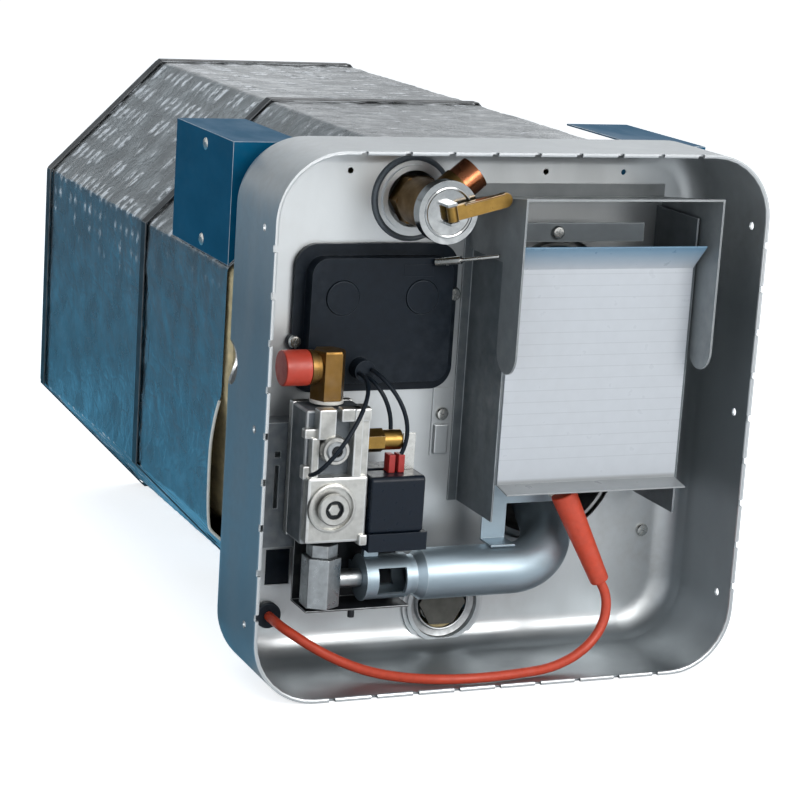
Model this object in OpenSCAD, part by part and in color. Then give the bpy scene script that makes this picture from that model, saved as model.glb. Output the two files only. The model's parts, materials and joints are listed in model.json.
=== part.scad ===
// Caravan water heater: a gas-fired storage heater with an open control housing at its front.
// Frame: X to the right, Y from front to rear, Z up. The origin lies under the middle of the heater.
// Places in the housing are given as X, the height Z and the reach forward from its inner back face.

/* [Housing] */
// Width of the control housing
housing_w = 312; // [306:1:330]
// Height of the control housing, and of the heater
housing_h = 320; // [316:1:340]
// Depth of the control housing from its front rim to its back
housing_depth = 80; // [78:1:100]
// Depth of the whole heater from the front rim to the rear of the jacket
total_depth = 487; // [460:1:540]
// Thickness of the sheet steel
sheet = 1.2; // [0.8:0.1:1.6]
// Corner radius of the housing seen from the front
housing_corner = 40; // [30:1:48]
// Bend radius between the walls and the back of the housing
housing_bend = 18; // [10:1:22]
// Distance between the small notches along the front rim
notch_pitch = 26.5; // [20:0.5:40]
// Width of a rim notch
notch_w = 4; // [2:0.5:6]
// Depth of a rim notch
notch_depth = 2.5; // [1:0.5:4]
// Radius of the screw holes in the side walls
side_hole_r = 2.4; // [1.5:0.1:3.5]
// Distance of the side screw holes behind the rim
side_hole_back = 18; // [10:1:30]
// Distance of the end screw holes in the side walls from the housing's corners
side_hole_in = 5; // [4:1:30]
// Radius of the gas line hole in the left wall
gas_hole_r = 13; // [10:0.5:15]

/* [Jacket] */
// Step from the housing side to the jacket side
jacket_step = 3; // [2.6:0.1:5]
// Corner chamfer of the jacket
jacket_chamfer = 80; // [72:1:84]
// Thickness of the foil facing
foil = 1; // [0.6:0.1:1.6]
// Width of insulation left bare in front of the foil
bare_edge = 11; // [6:1:20]
// Width of the steel straps
strap_w = 9; // [6:1:14]
// Thickness of the steel straps
strap_t = 0.8; // [0.5:0.1:1.2]
// Distance of the rear strap from the rear of the jacket
rear_strap_in = 9; // [4:1:30]
// Distance of the middle strap from the rear of the jacket
middle_strap_in = 240; // [150:5:270]

/* [Corner brackets] */
// Depth of a corner bracket behind the housing
bracket_depth = 105; // [80:1:130]
// Height of a corner bracket
bracket_h = 72; // [66:1:76]
// Width of a corner bracket's top flange
bracket_flange = 44; // [36:1:50]
// Drop of the bracket below the top of the housing
bracket_drop = 6; // [4:0.5:10]
// Radius of a rivet head
rivet_r = 4; // [3:0.5:5]

/* [Tank] */
// Room beside the tank, to the inside of the foil
tank_side_gap = 7; // [5:0.5:10]
// Wall of the tank
tank_wall = 2.2; // [1.5:0.1:3]
// Edge radius of the tank heads
tank_edge = 12; // [8:1:14]
// Room in front of the tank, to the housing's back
tank_front_gap = 5.5; // [4:0.5:7]
// Room behind the tank, to the rear of the jacket
tank_rear_gap = 15.5; // [12:0.5:24]
// Radius of the water couplings
coupling_r = 17; // [15:0.5:20]
// Bore radius of the water couplings
coupling_bore_r = 9.2; // [8:0.1:12]
// Threaded length of the water couplings
coupling_len = 18; // [14:1:24]
// Distance of each water coupling inside the tank's rim
coupling_in = 50; // [40:1:60]
// Radius of the lower flue tube
flue_r = 50; // [44:1:51]
// Radius of the upper flue tube
flue_return_r = 30; // [24:1:33]
// Wall of the flue tubes
flue_wall = 2; // [1.5:0.1:3]
// Distance of both flue tubes left of the flue box's middle
flue_off = 4; // [2:0.5:7]
// Height of the lower flue tube above the burner tube
flue_rise = 58; // [56:0.5:60]
// Height between the two flue tubes
flue_span = 106; // [103:1:109]

/* [Relief valve] */
// Angle of the relief valve to the left of the tank's top
relief_angle = 19; // [18:0.1:20]
// Distance of the relief valve's axis inside the tank's rim
relief_in = 16; // [15:0.5:17]
// Radius of the relief valve's thread
relief_thread_r = 10.4; // [9:0.1:10.8]
// Radius of the relief valve's body
relief_body_r = 14.5; // [13:0.5:16]
// Radius of the valve's bonnet
bonnet_r = 18.5; // [16:0.5:20]
// Reach of the bonnet's front face
bonnet_reach = 54; // [50:0.5:58]
// Length of the test lever from its pin
lever_len = 38; // [30:1:39]
// Width of the test lever
lever_w = 9; // [7:0.5:11]
// Tilt of the lever above the horizontal
lever_tilt = 14; // [0:1:25]
// Radius of the outlet stub
outlet_r = 10.3; // [9.5:0.1:10.8]
// Bore radius of the outlet stub
outlet_bore_r = 7.5; // [6:0.1:8.5]

/* [Thermostat cover] */
// Distance of the cover's flange from the housing's left side
cover_margin = 41.4; // [40.4:0.5:45.4]
// Height of the cover's flange
cover_h = 89; // [84:1:90]
// Reach of the cover's face
cover_reach = 14; // [13:0.5:17]
// Wall of the rubber cover
cover_wall = 2.5; // [2:0.1:3]
// Radius of a press pad
pad_r = 10.2; // [8:0.1:11]
// Radius of both thermostats
stat_r = 16.5; // [15:0.5:18]
// Travel of a reset button
reset_travel = 2; // [1:0.1:2]

/* [Gas valve] */
// Distance of the gas valve's middle from the housing's left side
valve_in = 55; // [52:0.5:56]
// Width of the gas valve
valve_w = 42; // [40:0.5:44]
// Drop of the valve's lower end below the thermostat cover
valve_drop = 82.5; // [80.5:0.5:83.5]
// Height of the valve body
valve_h = 84; // [82:1:86]
// Stand-off of the valve from the housing's back
valve_stand = 16.8; // [14:0.1:20]
// Depth of the valve's block
valve_depth = 33; // [30:0.5:36]
// Length of a solenoid coil
coil_len = 34; // [30:1:38]
// Height of a solenoid coil
coil_h = 34; // [30:1:36]
// Depth of a solenoid coil
coil_depth = 19; // [17:0.5:20]
// Radius of a solenoid plunger
plunger_r = 4.5; // [3.5:0.1:5.5]
// Travel of a solenoid plunger
plunger_travel = 2.5; // [1.5:0.1:3]

/* [Burner] */
// Height of the burner tube above the lower end of the outlet elbow
orifice_rise = 15.4; // [14.4:0.1:16.4]
// Reach of the burner tube's axis
burner_reach = 36.8; // [36:0.2:38]
// Radius of the main burner tube
burner_r = 15.5; // [14:0.1:16]
// Radius of the burner's inlet tube
inlet_r = 12; // [10.5:0.1:12.4]
// Wall of the burner tube
burner_wall = 1.2; // [0.8:0.1:1.6]
// Bend radius of the burner tube
burner_bend = 34; // [30:1:36]
// Rise of the burner tube into the combustion tube
burner_rise = 40; // [34:1:44]
// Length of the air windows
window_len = 18; // [12:1:20]
// Height of the air windows
window_h = 16; // [10:1:18]

/* [Flue parts] */
// X of the flue box's left wall
flue_box_x = 0; // [-1:0.5:1]
// Distance of the flue box from the housing's right side
box_margin = 32; // [30:1:34]
// Drop of the flue box's lower edge below the lower flue tube's axis
box_below = 24; // [21:1:27]
// Reach of the flue box's front flanges
flue_box_reach = 51.8; // [50:0.2:54]
// Step from the flue box's side to the label plate's side
label_margin = 2; // [1:0.5:6]
// Drop of the label plate's upper bend below the hood
label_drop = 34.5; // [32:0.5:40]
// Reach of the hood's front edge
hood_reach = 74.8; // [70:0.2:76]
// Rise of the hood's top towards the front
hood_rise = 10; // [4:1:14]
// Drop of the lower ends of the hood's cheeks below the hood
tongue_drop = 95; // [83:1:103]

/* [Ignition lead] */
// Diameter of the ignition lead
lead_d = 6; // [4:0.5:7]

/* [Hidden] */
$fn = 48;

// Clearance of a fixed piece in its hole
fit = 0.1;
// Clearance of a curved or soft piece at its seat
seat = 0.3;
// Radial clearance of a sliding or turning piece
run_fit = 0.05;
// Extra length of a cutting shape past the face that it cuts
past = 1;

half_w = housing_w / 2;
mid_z = housing_h / 2;
front_y = -total_depth / 2;
rear_y = total_depth / 2;
back_y = front_y + housing_depth;
wall_y = back_y - sheet;
corner_x = half_w - housing_corner;
top_corner_z = housing_h - housing_corner;

// Jacket
jacket_half = half_w - jacket_step;
jacket_z0 = strap_t;
jacket_z1 = housing_h - strap_t;
foil_front_y = back_y + bare_edge;
inset_chamfer = 2 - sqrt(2);

// Corner brackets
bracket_x0 = jacket_half + seat;
bracket_x1 = bracket_x0 + sheet;
bracket_z1 = housing_h - bracket_drop;
bracket_z0 = bracket_z1 - bracket_h;
bracket_web = 2;
rivet_head = 1.5;
rivet_shank_r = 2;
rivet_tail = 1;
rivet_low = 7;
rivet_high = 8;
rivet_z = [bracket_z0 + rivet_low, bracket_z1 - rivet_high];
rivet_y = back_y + bracket_depth * 0.47;

// Tank, with its ports near the rim of its front head
tank_r = min(jacket_half, (jacket_z1 - jacket_z0) / 2) - foil - tank_side_gap;
tank_y0 = back_y + tank_front_gap;
tank_y1 = rear_y - tank_rear_gap;
tank_len = tank_y1 - tank_y0;
coupling_z = [mid_z - tank_r + coupling_in, mid_z + tank_r - coupling_in];
port_wall = 2.5;
drain_in = 14.2;
drain_off = 4.5;
drain_x = -drain_off;
drain_z = mid_z - tank_r + drain_in;
anode_thread_r = 11.5;
anode_r = 9.5;
anode_len = 250;
anode_hex_r = 15.5;
anode_hex = 2;

// Relief valve and its lever
relief_x = -(tank_r - relief_in) * sin(relief_angle);
relief_z = mid_z + (tank_r - relief_in) * cos(relief_angle);
relief_hex_r = 15.5;
relief_hex_reach = 12;
relief_neck_reach = 44;
relief_bore_r = 6;
relief_port_r = 4;
bonnet_rim = 8;
bonnet_wall = 3;
spring_roof = bonnet_reach - bonnet_wall;
outlet_boss_wall = 0.7;
outlet_step = 1;
outlet_reach = relief_neck_reach - outlet_r - outlet_boss_wall - seat;
outlet_tilt = 40;
outlet_boss = 20;
outlet_end = 32;
pin_off = 5;
pin_r = 1.5;
hub_r = 3;
ear_t = 1.6;
ear_gap = 0.3;
lever_t = 2.6;
stem_r = 2.2;
stem_below = 1.8;
stem_lift = 3;
stem_len = 40;
stem_disc = 3;
stem_foot = bonnet_reach - stem_below - stem_len;
spring_r = 4.4;
spring_wire = 0.9;
spring_turns = 6;

// Flue box and hood
box_w = half_w - flue_box_x - box_margin;
box_x1 = flue_box_x + box_w;
front_flange = 10;
rear_flange = 6;
hood_gap = 1.8;
hood_x = [flue_box_x - hood_gap - sheet, box_x1 + hood_gap + sheet];
hood_drop = 37;
hood_z = housing_h - hood_drop;
hood_up = 8;
hood_side = 31;
hood_side_z = hood_z - hood_side;
tongue_z = hood_z - tongue_drop;
tongue_w = 26;
box_drop = 5;
box_top = hood_z - box_drop;
bar_h = 11.5;
bar_drop = 9.5;
bar_z = [hood_z - bar_drop - bar_h, hood_z - bar_drop];
bar_f = 38;
bar_short = 30;
bar_len = box_w - bar_short;
bar_screw_in = 36;
bar_screw_x = flue_box_x + bar_screw_in;

// Thermostats and their cover
cover_gap = 10.6;
cover_wide = half_w + flue_box_x - cover_gap - cover_margin;
cover_tall = cover_h;
cover_room = 4;
cover_x = flue_box_x - cover_gap - cover_wide / 2;
relief_collar_r = 22.5;
cover_z = relief_z - relief_collar_r - cover_room - cover_tall / 2;
cover_flange = 4;
cover_rim = 7;
cover_corner = 14;
face_corner = 10;
hollow_corner = 8;
stat_gap = 0.75;
pad_rise = 14;
pad_pitch = cover_wide - 2 * (cover_rim + cover_wall + stat_gap + stat_r);
pad_z = cover_z + pad_rise;
pad_x = [cover_x - pad_pitch / 2, cover_x + pad_pitch / 2];
pad_gap = 0.3;
pad_proud = 0.8;
ear_r = 4.5;
ear_in = 1.8;
ear_rise = 13.5;
cover_ears = [[cover_x - cover_wide / 2 + ear_in, cover_z - ear_rise],
    [cover_x + cover_wide / 2 - ear_in, cover_z + ear_rise]];
nub_off = 12.4;
nub_drop = 28;
nub_x = cover_x - nub_off;
nub_z = cover_z - nub_drop;
nub_r = 6.5;
nub_len = 10;
stat_top = 6;
button_r = 4;
button_root = 2.5;
rod_r = 1.2;
sleeve_r = 2.4;
sleeve_share = 0.4;
rod_lift = 1.8;
rod_in = 20;
rod_rise = 35;
rod_gap = 1;
rod_reach = 46;
rod_up = 3;
retainer_a = [cover_x + cover_wide / 2 - rod_in, wall_y - cover_reach - rod_lift, cover_z + rod_rise];
retainer_b = [hood_x[0] - rod_gap, wall_y - rod_reach, hood_side_z + rod_up];

// Gas train
valve_x = -half_w + valve_in;
valve_z = cover_z - cover_tall / 2 - valve_drop;
valve_f = [valve_stand, valve_stand + valve_depth];
valve_left = valve_x - valve_w / 2;
valve_right = valve_x + valve_w / 2;
valve_top = valve_z + valve_h;
pad_up = 4;
boss_up = 2.8;
pad_front = valve_f[1] + pad_up;
boss_front = pad_front + boss_up;
boss_off = 2.5;
boss_x = valve_x - boss_off;
tap_rise = 60;
tap_z = valve_z + tap_rise;
tap_r = 8.5;
tap_rim = 2.5;
tap_plug = 1.5;
tap_key_r = 2.6;
tap_key = 1;
regulator_rise = 25.6;
regulator_z = valve_z + regulator_rise;
regulator_r = 13.5;
cap_rim = 4;
cap_disc = 1.6;
cap_hub_r = 5.5;
cap_hub = 3;
slot_w = 1.6;
slot_deep = 1;
face_in = 1;
face_low = 3;
face_high = 17;
lower_in = 5;
upper_in = 8;
upper_gap = 6;
lug_in = 1;
lug_w = 6;
lug_h = 8;
lug_rise = 42;
inlet_off = 1.5;
inlet_x = valve_x - inlet_off;
inlet_f = 33.8;
washer_t = 2;
washer_r = 10;
elbow_r = 10.5;
elbow_rise = 18.7;
elbow_run = 13;
flare_r = 7.9;
flare_len = 13.5;
cap_len = 16;
elbow_z0 = valve_top + washer_t;
elbow_axis_z = elbow_z0 + elbow_rise;
coil_rise = 9;
coil_z = valve_z + coil_rise;
coil_top = coil_z + coil_h;
coil_corner = 3;
coil_in = 1;
coil_gap = 0.8;
coil_f = [valve_f[0] + coil_in, valve_f[0] + coil_in + coil_gap + coil_depth];
coil_bore_len = 30;
plunger_room = 7.5;
plunger_len = coil_bore_len - plunger_travel - plunger_room;
plunger_spring_wire = 0.7;
plunger_spring_in = 0.9;
plunger_spring_turns = 5;
plunger_spring_len = coil_bore_len - plunger_len - 3 * seat;
yoke_below = 2;
yoke_z = valve_z - yoke_below;
yoke_past = 3;
connector_rise = 61.2;
connector_z = valve_z + connector_rise;
connector_r = 6;
connector_hex_r = 7.2;
connector_len = 23;
connector_f = 38.8;
terminal_in = 14;
terminal_pitch = 6;
terminal_x = [valve_right + terminal_in, valve_right + terminal_in + terminal_pitch];
terminal_w = 4;
terminal_depth = 8;
terminal_room = 1.5;
terminal_z = connector_z - connector_r - terminal_room;
blade_w = 8;
blade_in = 1;
blade_h = 22;
outlet_x = valve_x;
nut_h = 8;
nut_r = 9.5;
hex_r = 12;
hex_h = 30.4;
hex_z = valve_z - nut_h - hex_h;
plate_out = 30;
plate_room = 14.5;
plate_x = [valve_x - plate_out, valve_right];
plate_z = [valve_z - nut_h, cover_z - cover_tall / 2 - plate_room];
plate_slot_in = 5.5;
plate_slot_w = 2.5;
plate_slot_rise = 24;
plate_slot_h = 26;
slot_x = [plate_x[0] + plate_slot_in, plate_x[0] + plate_slot_in + plate_slot_w];
slot_z = [plate_z[0] + plate_slot_rise, plate_z[0] + plate_slot_rise + plate_slot_h];
plate_hole = 3.5;
plate_hole_in = 5;
plate_hole_rise = 55;
key_x = [plate_x[0] + plate_hole_in, plate_x[0] + plate_hole_in + plate_hole];
key_z = [plate_z[0] + plate_hole_rise, plate_z[0] + plate_hole_rise + plate_hole];

// Burner
burner_z = hex_z + orifice_rise;
burner_y = wall_y - burner_reach;
orifice_x = outlet_x + hex_r * cos(30);
orifice_r = 5.6;
jet_r = 3.8;
jet_len = 7;
jet_hole_r = 4.2;
end_plate_off = 24.6;
end_plate_x = outlet_x + end_plate_off;
end_plate_rim = 2;
end_plate_foot = 6;
inlet_x0 = end_plate_x + sheet;
inlet_len = 32;
window_in = 6.5;
window_x = inlet_x0 + window_in;
shutter_len = 27;
shutter_t = 1.3;
shutter_r = inlet_r + run_fit;
tab_w = 4;
tab_h = 5;
flare_step = 5;
under_gap = 1.4;
under_z = hex_z - under_gap - sheet;
under_rise = 20;
under_top = burner_z + under_rise;
under_stand = 1.6;
under_reach = 44;
under_f = [valve_stand + under_stand, under_reach];
under_left = 11;
under_right = 55;
under_x = [valve_x - under_left, valve_x + under_right];
wing_in = 8;
wing_x = [under_x[0] + wing_in, under_x[1] - sheet];
hook_off = 19;
hook_x = valve_x + hook_off;
hook_r = 2;
hook_len = 5;
hook_in = 3;

// Flue tubes, over the burner and behind the flue box
flue_x = flue_box_x + box_w / 2 - flue_off;
flue_z = burner_z + flue_rise;
flue_return_z = flue_z + flue_span;
box_z = flue_z - box_below;
flue_bend = (flue_return_z - flue_z) / 2;
flue_cone = 30;
flue_rear_gap = 33;
flue_bend_y = tank_y1 - flue_rear_gap - flue_bend - flue_return_r;
burner_aside = 2.5;
bend_x = flue_x - burner_aside - burner_bend;
burner_run = 50;

// Ignition
electrode_off = 12;
electrode_rise = 48;
electrode_x = flue_x - electrode_off;
electrode_z = burner_z + electrode_rise;
electrode_r = 3.5;
electrode_back = 10;
tip_r = 1.2;
tip_reach = 3;
boot_depth = 4;
boot_aside = 2.5;
boot_up = 1.5;
boot_reach = 48.8;
boot_top = [electrode_x + boot_aside, wall_y - boot_reach, electrode_z + boot_up];
boot_run = 31;
boot_lean = 3;
boot_below = 7;
boot_end = [electrode_x + boot_run, wall_y - boot_reach - boot_lean, burner_z - boot_below];
boot_top_r = 8;
boot_end_r = 5.8;
arm_reach = 26;
arm_f = [arm_reach, arm_reach + sheet];
arm_down = 10;
arm_up = 6;
arm_z = [electrode_z - arm_down, electrode_z + arm_up];
arm_past = 7;
foot_off = 52;
foot_w = 16;
foot_x = [flue_x - foot_off, flue_x - foot_off + foot_w];
foot_past = 6;
foot_z = burner_z + burner_r + fit;
grommet_out = 4;
grommet_below = 10.5;
grommet_x = -corner_x - grommet_out;
grommet_z = housing_corner - grommet_below;
grommet_r = 8;
grommet_hole_r = 5.5;
grommet_len = 5;

// Label plate
label_wide = box_w - 2 * label_margin;
label_x = flue_box_x + label_margin;
label_rise = 8.5;
label_z = electrode_z + label_rise;
label_top = hood_z - label_drop;
label_t = 1;
lip_out = 15;
lip_up = 15.5;
lip_down = 2.5;

// Openings in the housing's back
relief_hole_r = 17;
collar_h = 4;
collar_step = 2.5;
collar_floor = 2.2;
drain_collar_most = 27;
drain_collar_r = min(drain_collar_most, drain_z - collar_floor);
drain_ring = 5;
drain_hole_r = drain_collar_r - drain_ring;
flue_hole_gap = 3;
stat_hole_gap = 1.5;
stat_hole = stat_r + stat_hole_gap;
wire_hole_in = [34, 49.5];
wire_hole_up = [7.5, 29.5];
wire_hole_x = [for (d = wire_hole_in) -half_w + d];
wire_hole_z = [for (d = wire_hole_up) housing_corner + d];
spare_hole_r = 1.8;
spare_drop = 22;
spare_left = 74;
spare_mid = 45;
spare_right = 58;
spare_x = [-half_w + spare_left, spare_mid, half_w - spare_right];
gas_hole_back = 64;

// Wiring strip and screws, each screw with its X, height and the reach of its seat
strip_gap = 7.5;
strip_w = 12.5;
strip_x = [flue_box_x - strip_gap - strip_w, flue_box_x - strip_gap];
strip_h = 42;
strip_screw_in = 16;
strip_top = cover_z - cover_tall / 2 - seat;
strip_z = [strip_top - strip_h, strip_top];
strip_screw = [(strip_x[0] + strip_x[1]) / 2, strip_top - strip_screw_in];
side_screw_in = 24;
side_screw_rise = 69;
side_screw = [half_w - side_screw_in, side_screw_rise];
screw_r = 1.8;
screw_head_r = 3.6;
screw_head = 2.2;
bar_grip = 3;
screws = concat([for (e = cover_ears) [e[0], e[1], cover_flange]],
    [[strip_screw[0], strip_screw[1], sheet], [side_screw[0], side_screw[1], 0]]);
bar_screw = [bar_screw_x, (bar_z[0] + bar_z[1]) / 2, bar_f + sheet];

// Ignition lead: X, reach and height along its route at the default sizes
lead_route = [[77, 51.8, 54], [81, 52.3, 46], [82, 53.3, 36], [79, 54.8, 26], [72, 56.8, 17.5],
    [62, 59.3, 11], [50, 62.3, 7], [37, 65.3, 5], [23, 67.8, 4.7], [9, 69.8, 4.7], [-5, 70.8, 4.7],
    [-19, 70.3, 4.7], [-32, 68.3, 4.7], [-45, 64.3, 4.7], [-57, 58.5, 4.9], [-69, 51.7, 6],
    [-81, 44.8, 8.8], [-93, 38.3, 13.5], [-103, 32.8, 18.7], [-111, 27.3, 23.6],
    [-116.5, 21.8, 27], [-119.3, 15.8, 29], [-120, 9.8, 29.5], [-120, 5, 29.5]];
lead_start = lead_route[0];
lead_last = lead_route[len(lead_route) - 1];
lead_floor = 4.7;
function lead_point(p) = p[0] < 0
    ? [p[0] * grommet_x / lead_last[0], wall_y - p[1], p[2] * grommet_z / lead_last[2]]
    : [p[0] * boot_end[0] / lead_start[0], wall_y - p[1], max(lead_floor, p[2] * boot_end[2] / lead_start[2])];
lead_points = [for (p = lead_route) lead_point(p)];

// Wires from the thermostats to the gas valve, each a curve from its start to its end with a pull at both
wire_r = 1.3;
wire_steps = 12;
wire_y = wall_y - cover_reach - nub_len - seat;
function curve(a, pull_a, pull_b, b) = [for (i = [0 : wire_steps]) let (t = i / wire_steps, s = 1 - t)
    s * s * s * a + 3 * s * s * t * (a + pull_a) + 3 * s * t * t * (b + pull_b) + t * t * t * b];
lug_end = [valve_left + lug_in + lug_w / 2, wall_y - pad_front - seat, valve_z + lug_rise + lug_h / 2];
connector_mid = 17;
connector_end = [valve_right + connector_mid, wall_y - connector_f, connector_z + connector_r + seat];
terminal_end = [terminal_x[1] + terminal_w / 2, wall_y - connector_f - 0.82 * terminal_depth,
    terminal_z + seat];
wire_routes = [curve([nub_x - 4, wire_y, nub_z - 1], [0, -50, 4], [0, -27, 6], lug_end),
    curve([nub_x + 1, wire_y, nub_z - 3], [0, -16, 0], [0, 0, 16], connector_end),
    curve([nub_x + 4, wire_y, nub_z + 1], [0, -20, 0], [10, -3, 24], terminal_end)];

function unit(v) = v / norm(v);
function left_of(v) = [-v[1], v[0]];
function mitre(p, i) =
    let (a = left_of(unit(i > 0 ? p[i] - p[i - 1] : p[1] - p[0])))
    let (b = i < len(p) - 1 ? left_of(unit(p[i + 1] - p[i])) : a)
    let (m = unit(a + b)) m / (m * a);
// Outline of a sheet of thickness t bent along points p, grown to the left of its path
function bent_sheet(p, t) =
    concat(p, [for (i = [len(p) - 1 : -1 : 0]) p[i] + t * mitre(p, i)]);
function octagon(grow) =
    let (h = jacket_half + grow, a = jacket_z0 - grow, b = jacket_z1 + grow)
    let (c = jacket_chamfer + grow * inset_chamfer)
    [[-h, a + c], [-h + c, a], [h - c, a], [h, a + c], [h, b - c], [h - c, b], [-h + c, b], [-h, b - c]];
function chamfer_z(x) = jacket_z1 - jacket_chamfer + jacket_half - x;

// Rings of a round tube swept along points, with its frame carried along
function tangent(p, i) = unit(p[min(i + 1, len(p) - 1)] - p[max(i - 1, 0)]);
function square_to(n, t) = unit(n - (n * t) * t);
function sides_along(p, i, n) =
    let (t = tangent(p, i), s = square_to(n, t))
    i == len(p) - 1 ? [s] : concat([s], sides_along(p, i + 1, s));
module swept_tube(p, r, sides) {
    s = sides_along(p, 0, [0.48, 0.64, 0.6]);
    rings = [for (i = [0 : len(p) - 1]) let (t = tangent(p, i), b = cross(t, s[i]))
        for (k = [0 : sides - 1]) p[i] + r * (cos(360 * k / sides) * s[i] + sin(360 * k / sides) * b)];
    last = (len(p) - 1) * sides;
    walls = [for (i = [0 : len(p) - 2], k = [0 : sides - 1])
        let (a = i * sides + k, b = i * sides + (k + 1) % sides)
        each [[a, b + sides, b], [a, a + sides, b + sides]]];
    start = [for (k = [1 : sides - 2]) [0, k, k + 1]];
    end = [for (k = [1 : sides - 2]) [last, last + k + 1, last + k]];
    polyhedron(points = rings, faces = concat(walls, start, end));
}
// Round coil spring along +Z, with closed gaps no narrower than its pitch less its wire
module coil_spring(r, wire, turns, length) {
    steps = 8;
    rise = (length - wire) / turns;
    assert(rise > wire, "spring turns would touch");
    echo(least_spring_gap = rise - wire);
    swept_tube([for (i = [0 : steps * turns])
        [r * cos(360 * i / steps), r * sin(360 * i / steps), wire / 2 + rise * i / steps]], wire / 2, 6);
}

// Shapes placed by X, reach forward of the housing's back, and height
module at(x, f, z) translate([x, wall_y - f, z]) children();
module plate(x, f, z) translate([x[0], wall_y - f[1], z[0]])
    cube([x[1] - x[0], f[1] - f[0], z[1] - z[0]]);
module forward(r, h) rotate([90, 0, 0]) cylinder(r = r, h = h);
module across(r, h) rotate([0, 90, 0]) cylinder(r = r, h = h);
module section_across(x0, x1) translate([x0, wall_y, 0])
    rotate([90, 0, 90]) linear_extrude(x1 - x0) mirror([1, 0]) children();
module along_y(y0, y1) translate([0, y1, 0]) rotate([90, 0, 0]) linear_extrude(y1 - y0) children();
module rounded(w, h, r) {
    square([w - 2 * r, h], center = true);
    square([w, h - 2 * r], center = true);
    for (x = [-1, 1], y = [-1, 1]) translate([x * (w / 2 - r), y * (h / 2 - r)]) circle(r);
}
module rod(a, b, r1, r2) {
    d = b - a;
    translate(a) rotate([0, acos(d[2] / norm(d)), atan2(d[1], d[0])])
        cylinder(r1 = r1, r2 = r2, h = norm(d));
}

// Control housing: one deep-drawn pan, with walls, a bent edge and a flat back
module pan_solid(r, d, b) {
    square([r, d - b]);
    square([r - b, d]);
    translate([r - b, d - b]) circle(b);
}
module pan_section() difference() {
    pan_solid(housing_corner, housing_depth, housing_bend);
    translate([-past, -past])
        pan_solid(housing_corner - sheet + past, housing_depth - sheet + past, housing_bend - sheet);
}
module pan_shell() {
    straight_w = housing_w - 2 * housing_corner;
    straight_h = housing_h - 2 * housing_corner;
    for (k = [0 : 3])
        translate([k == 0 || k == 3 ? corner_x : -corner_x, front_y, k < 2 ? housing_corner : top_corner_z])
            rotate([-90, 0, 0]) rotate([0, 0, 90 * k]) rotate_extrude(angle = 90) pan_section();
    for (side = [0, 1]) mirror([side, 0, 0])
        translate([corner_x, front_y, housing_corner]) linear_extrude(straight_h) pan_section();
    translate([corner_x, front_y, top_corner_z]) rotate([0, -90, 0]) linear_extrude(straight_w) pan_section();
    translate([-corner_x, front_y, housing_corner]) rotate([0, 90, 0]) linear_extrude(straight_w) pan_section();
    plate([-corner_x, corner_x], [-sheet, 0], [housing_corner, top_corner_z]);
}
module rim_notches() {
    count_x = floor((housing_w - 2 * housing_corner) / notch_pitch / 2);
    count_z = floor((housing_h - 2 * housing_corner) / notch_pitch / 2);
    for (i = [-count_x : count_x])
        translate([i * notch_pitch - notch_w / 2, front_y - past, -past])
            cube([notch_w, notch_depth + past, housing_h + 2 * past]);
    for (i = [-count_z : count_z])
        translate([-half_w - past, front_y - past, mid_z + i * notch_pitch - notch_w / 2])
            cube([housing_w + 2 * past, notch_depth + past, notch_w]);
}
module side_holes() for (z = [housing_corner + side_hole_in, mid_z, top_corner_z - side_hole_in])
    translate([-half_w - past, front_y + side_hole_back, z])
        across(side_hole_r, housing_w + 2 * past);
module collar(x, z, r) at(x, 0, z) {
    forward(r, collar_h / 2);
    forward(r - collar_step, collar_h);
}
module control_housing() color("silver") difference() {
    union() {
        pan_shell();
        collar(relief_x, relief_z, relief_collar_r);
        collar(drain_x, drain_z, drain_collar_r);
    }
    rim_notches();
    side_holes();
    translate([-half_w - past, front_y + gas_hole_back, elbow_axis_z]) across(gas_hole_r, 2 * housing_bend);
    at(relief_x, -housing_bend, relief_z) forward(relief_hole_r, 2 * housing_bend);
    at(drain_x, -housing_bend / 2, drain_z) forward(drain_hole_r, housing_bend);
    at(flue_x, -2 * sheet, flue_z) forward(flue_r + flue_hole_gap, 4 * sheet);
    at(flue_x, -2 * sheet, flue_return_z) forward(flue_return_r + flue_hole_gap, 4 * sheet);
    at(grommet_x, -2 * sheet, grommet_z) forward(grommet_hole_r, 4 * sheet);
    plate([pad_x[0] - stat_hole, pad_x[1] + stat_hole], [-2 * sheet, past],
        [pad_z - stat_hole, pad_z + stat_hole]);
    plate(wire_hole_x, [-2 * sheet, past], wire_hole_z);
    for (x = spare_x) at(x, -2 * sheet, housing_h - spare_drop) forward(spare_hole_r, 4 * sheet);
    for (s = screws) at(s[0], -2 * sheet, s[1]) forward(screw_r + fit, 4 * sheet);
}

// Corner brackets and their rivets
module corner_bracket() {
    edge = bracket_x1 - bracket_flange;
    difference() {
        union() {
            along_y(back_y, back_y + bracket_depth)
                polygon(bent_sheet([[edge, bracket_z1], [bracket_x1, bracket_z1], [bracket_x1, bracket_z0]],
                    -sheet));
            along_y(back_y, back_y + sheet)
                polygon([[bracket_x1, bracket_z0], [bracket_x1, bracket_z1], [edge, bracket_z1],
                    [edge, chamfer_z(edge) + bracket_web]]);
        }
        for (z = rivet_z) translate([bracket_x0 - past, rivet_y, z])
            across(rivet_shank_r + fit, sheet + 2 * past);
    }
}
module right_bracket() color("#00415f") corner_bracket();
module left_bracket() color("#00415f") mirror([1, 0, 0]) corner_bracket();
module rivet() {
    translate([-rivet_tail, 0, 0]) across(rivet_shank_r + rivet_tail, rivet_tail);
    across(rivet_shank_r, sheet);
    translate([sheet, 0, 0]) rotate([0, 90, 0]) cylinder(r1 = rivet_r, r2 = rivet_r * 0.6, h = rivet_head);
}
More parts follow.
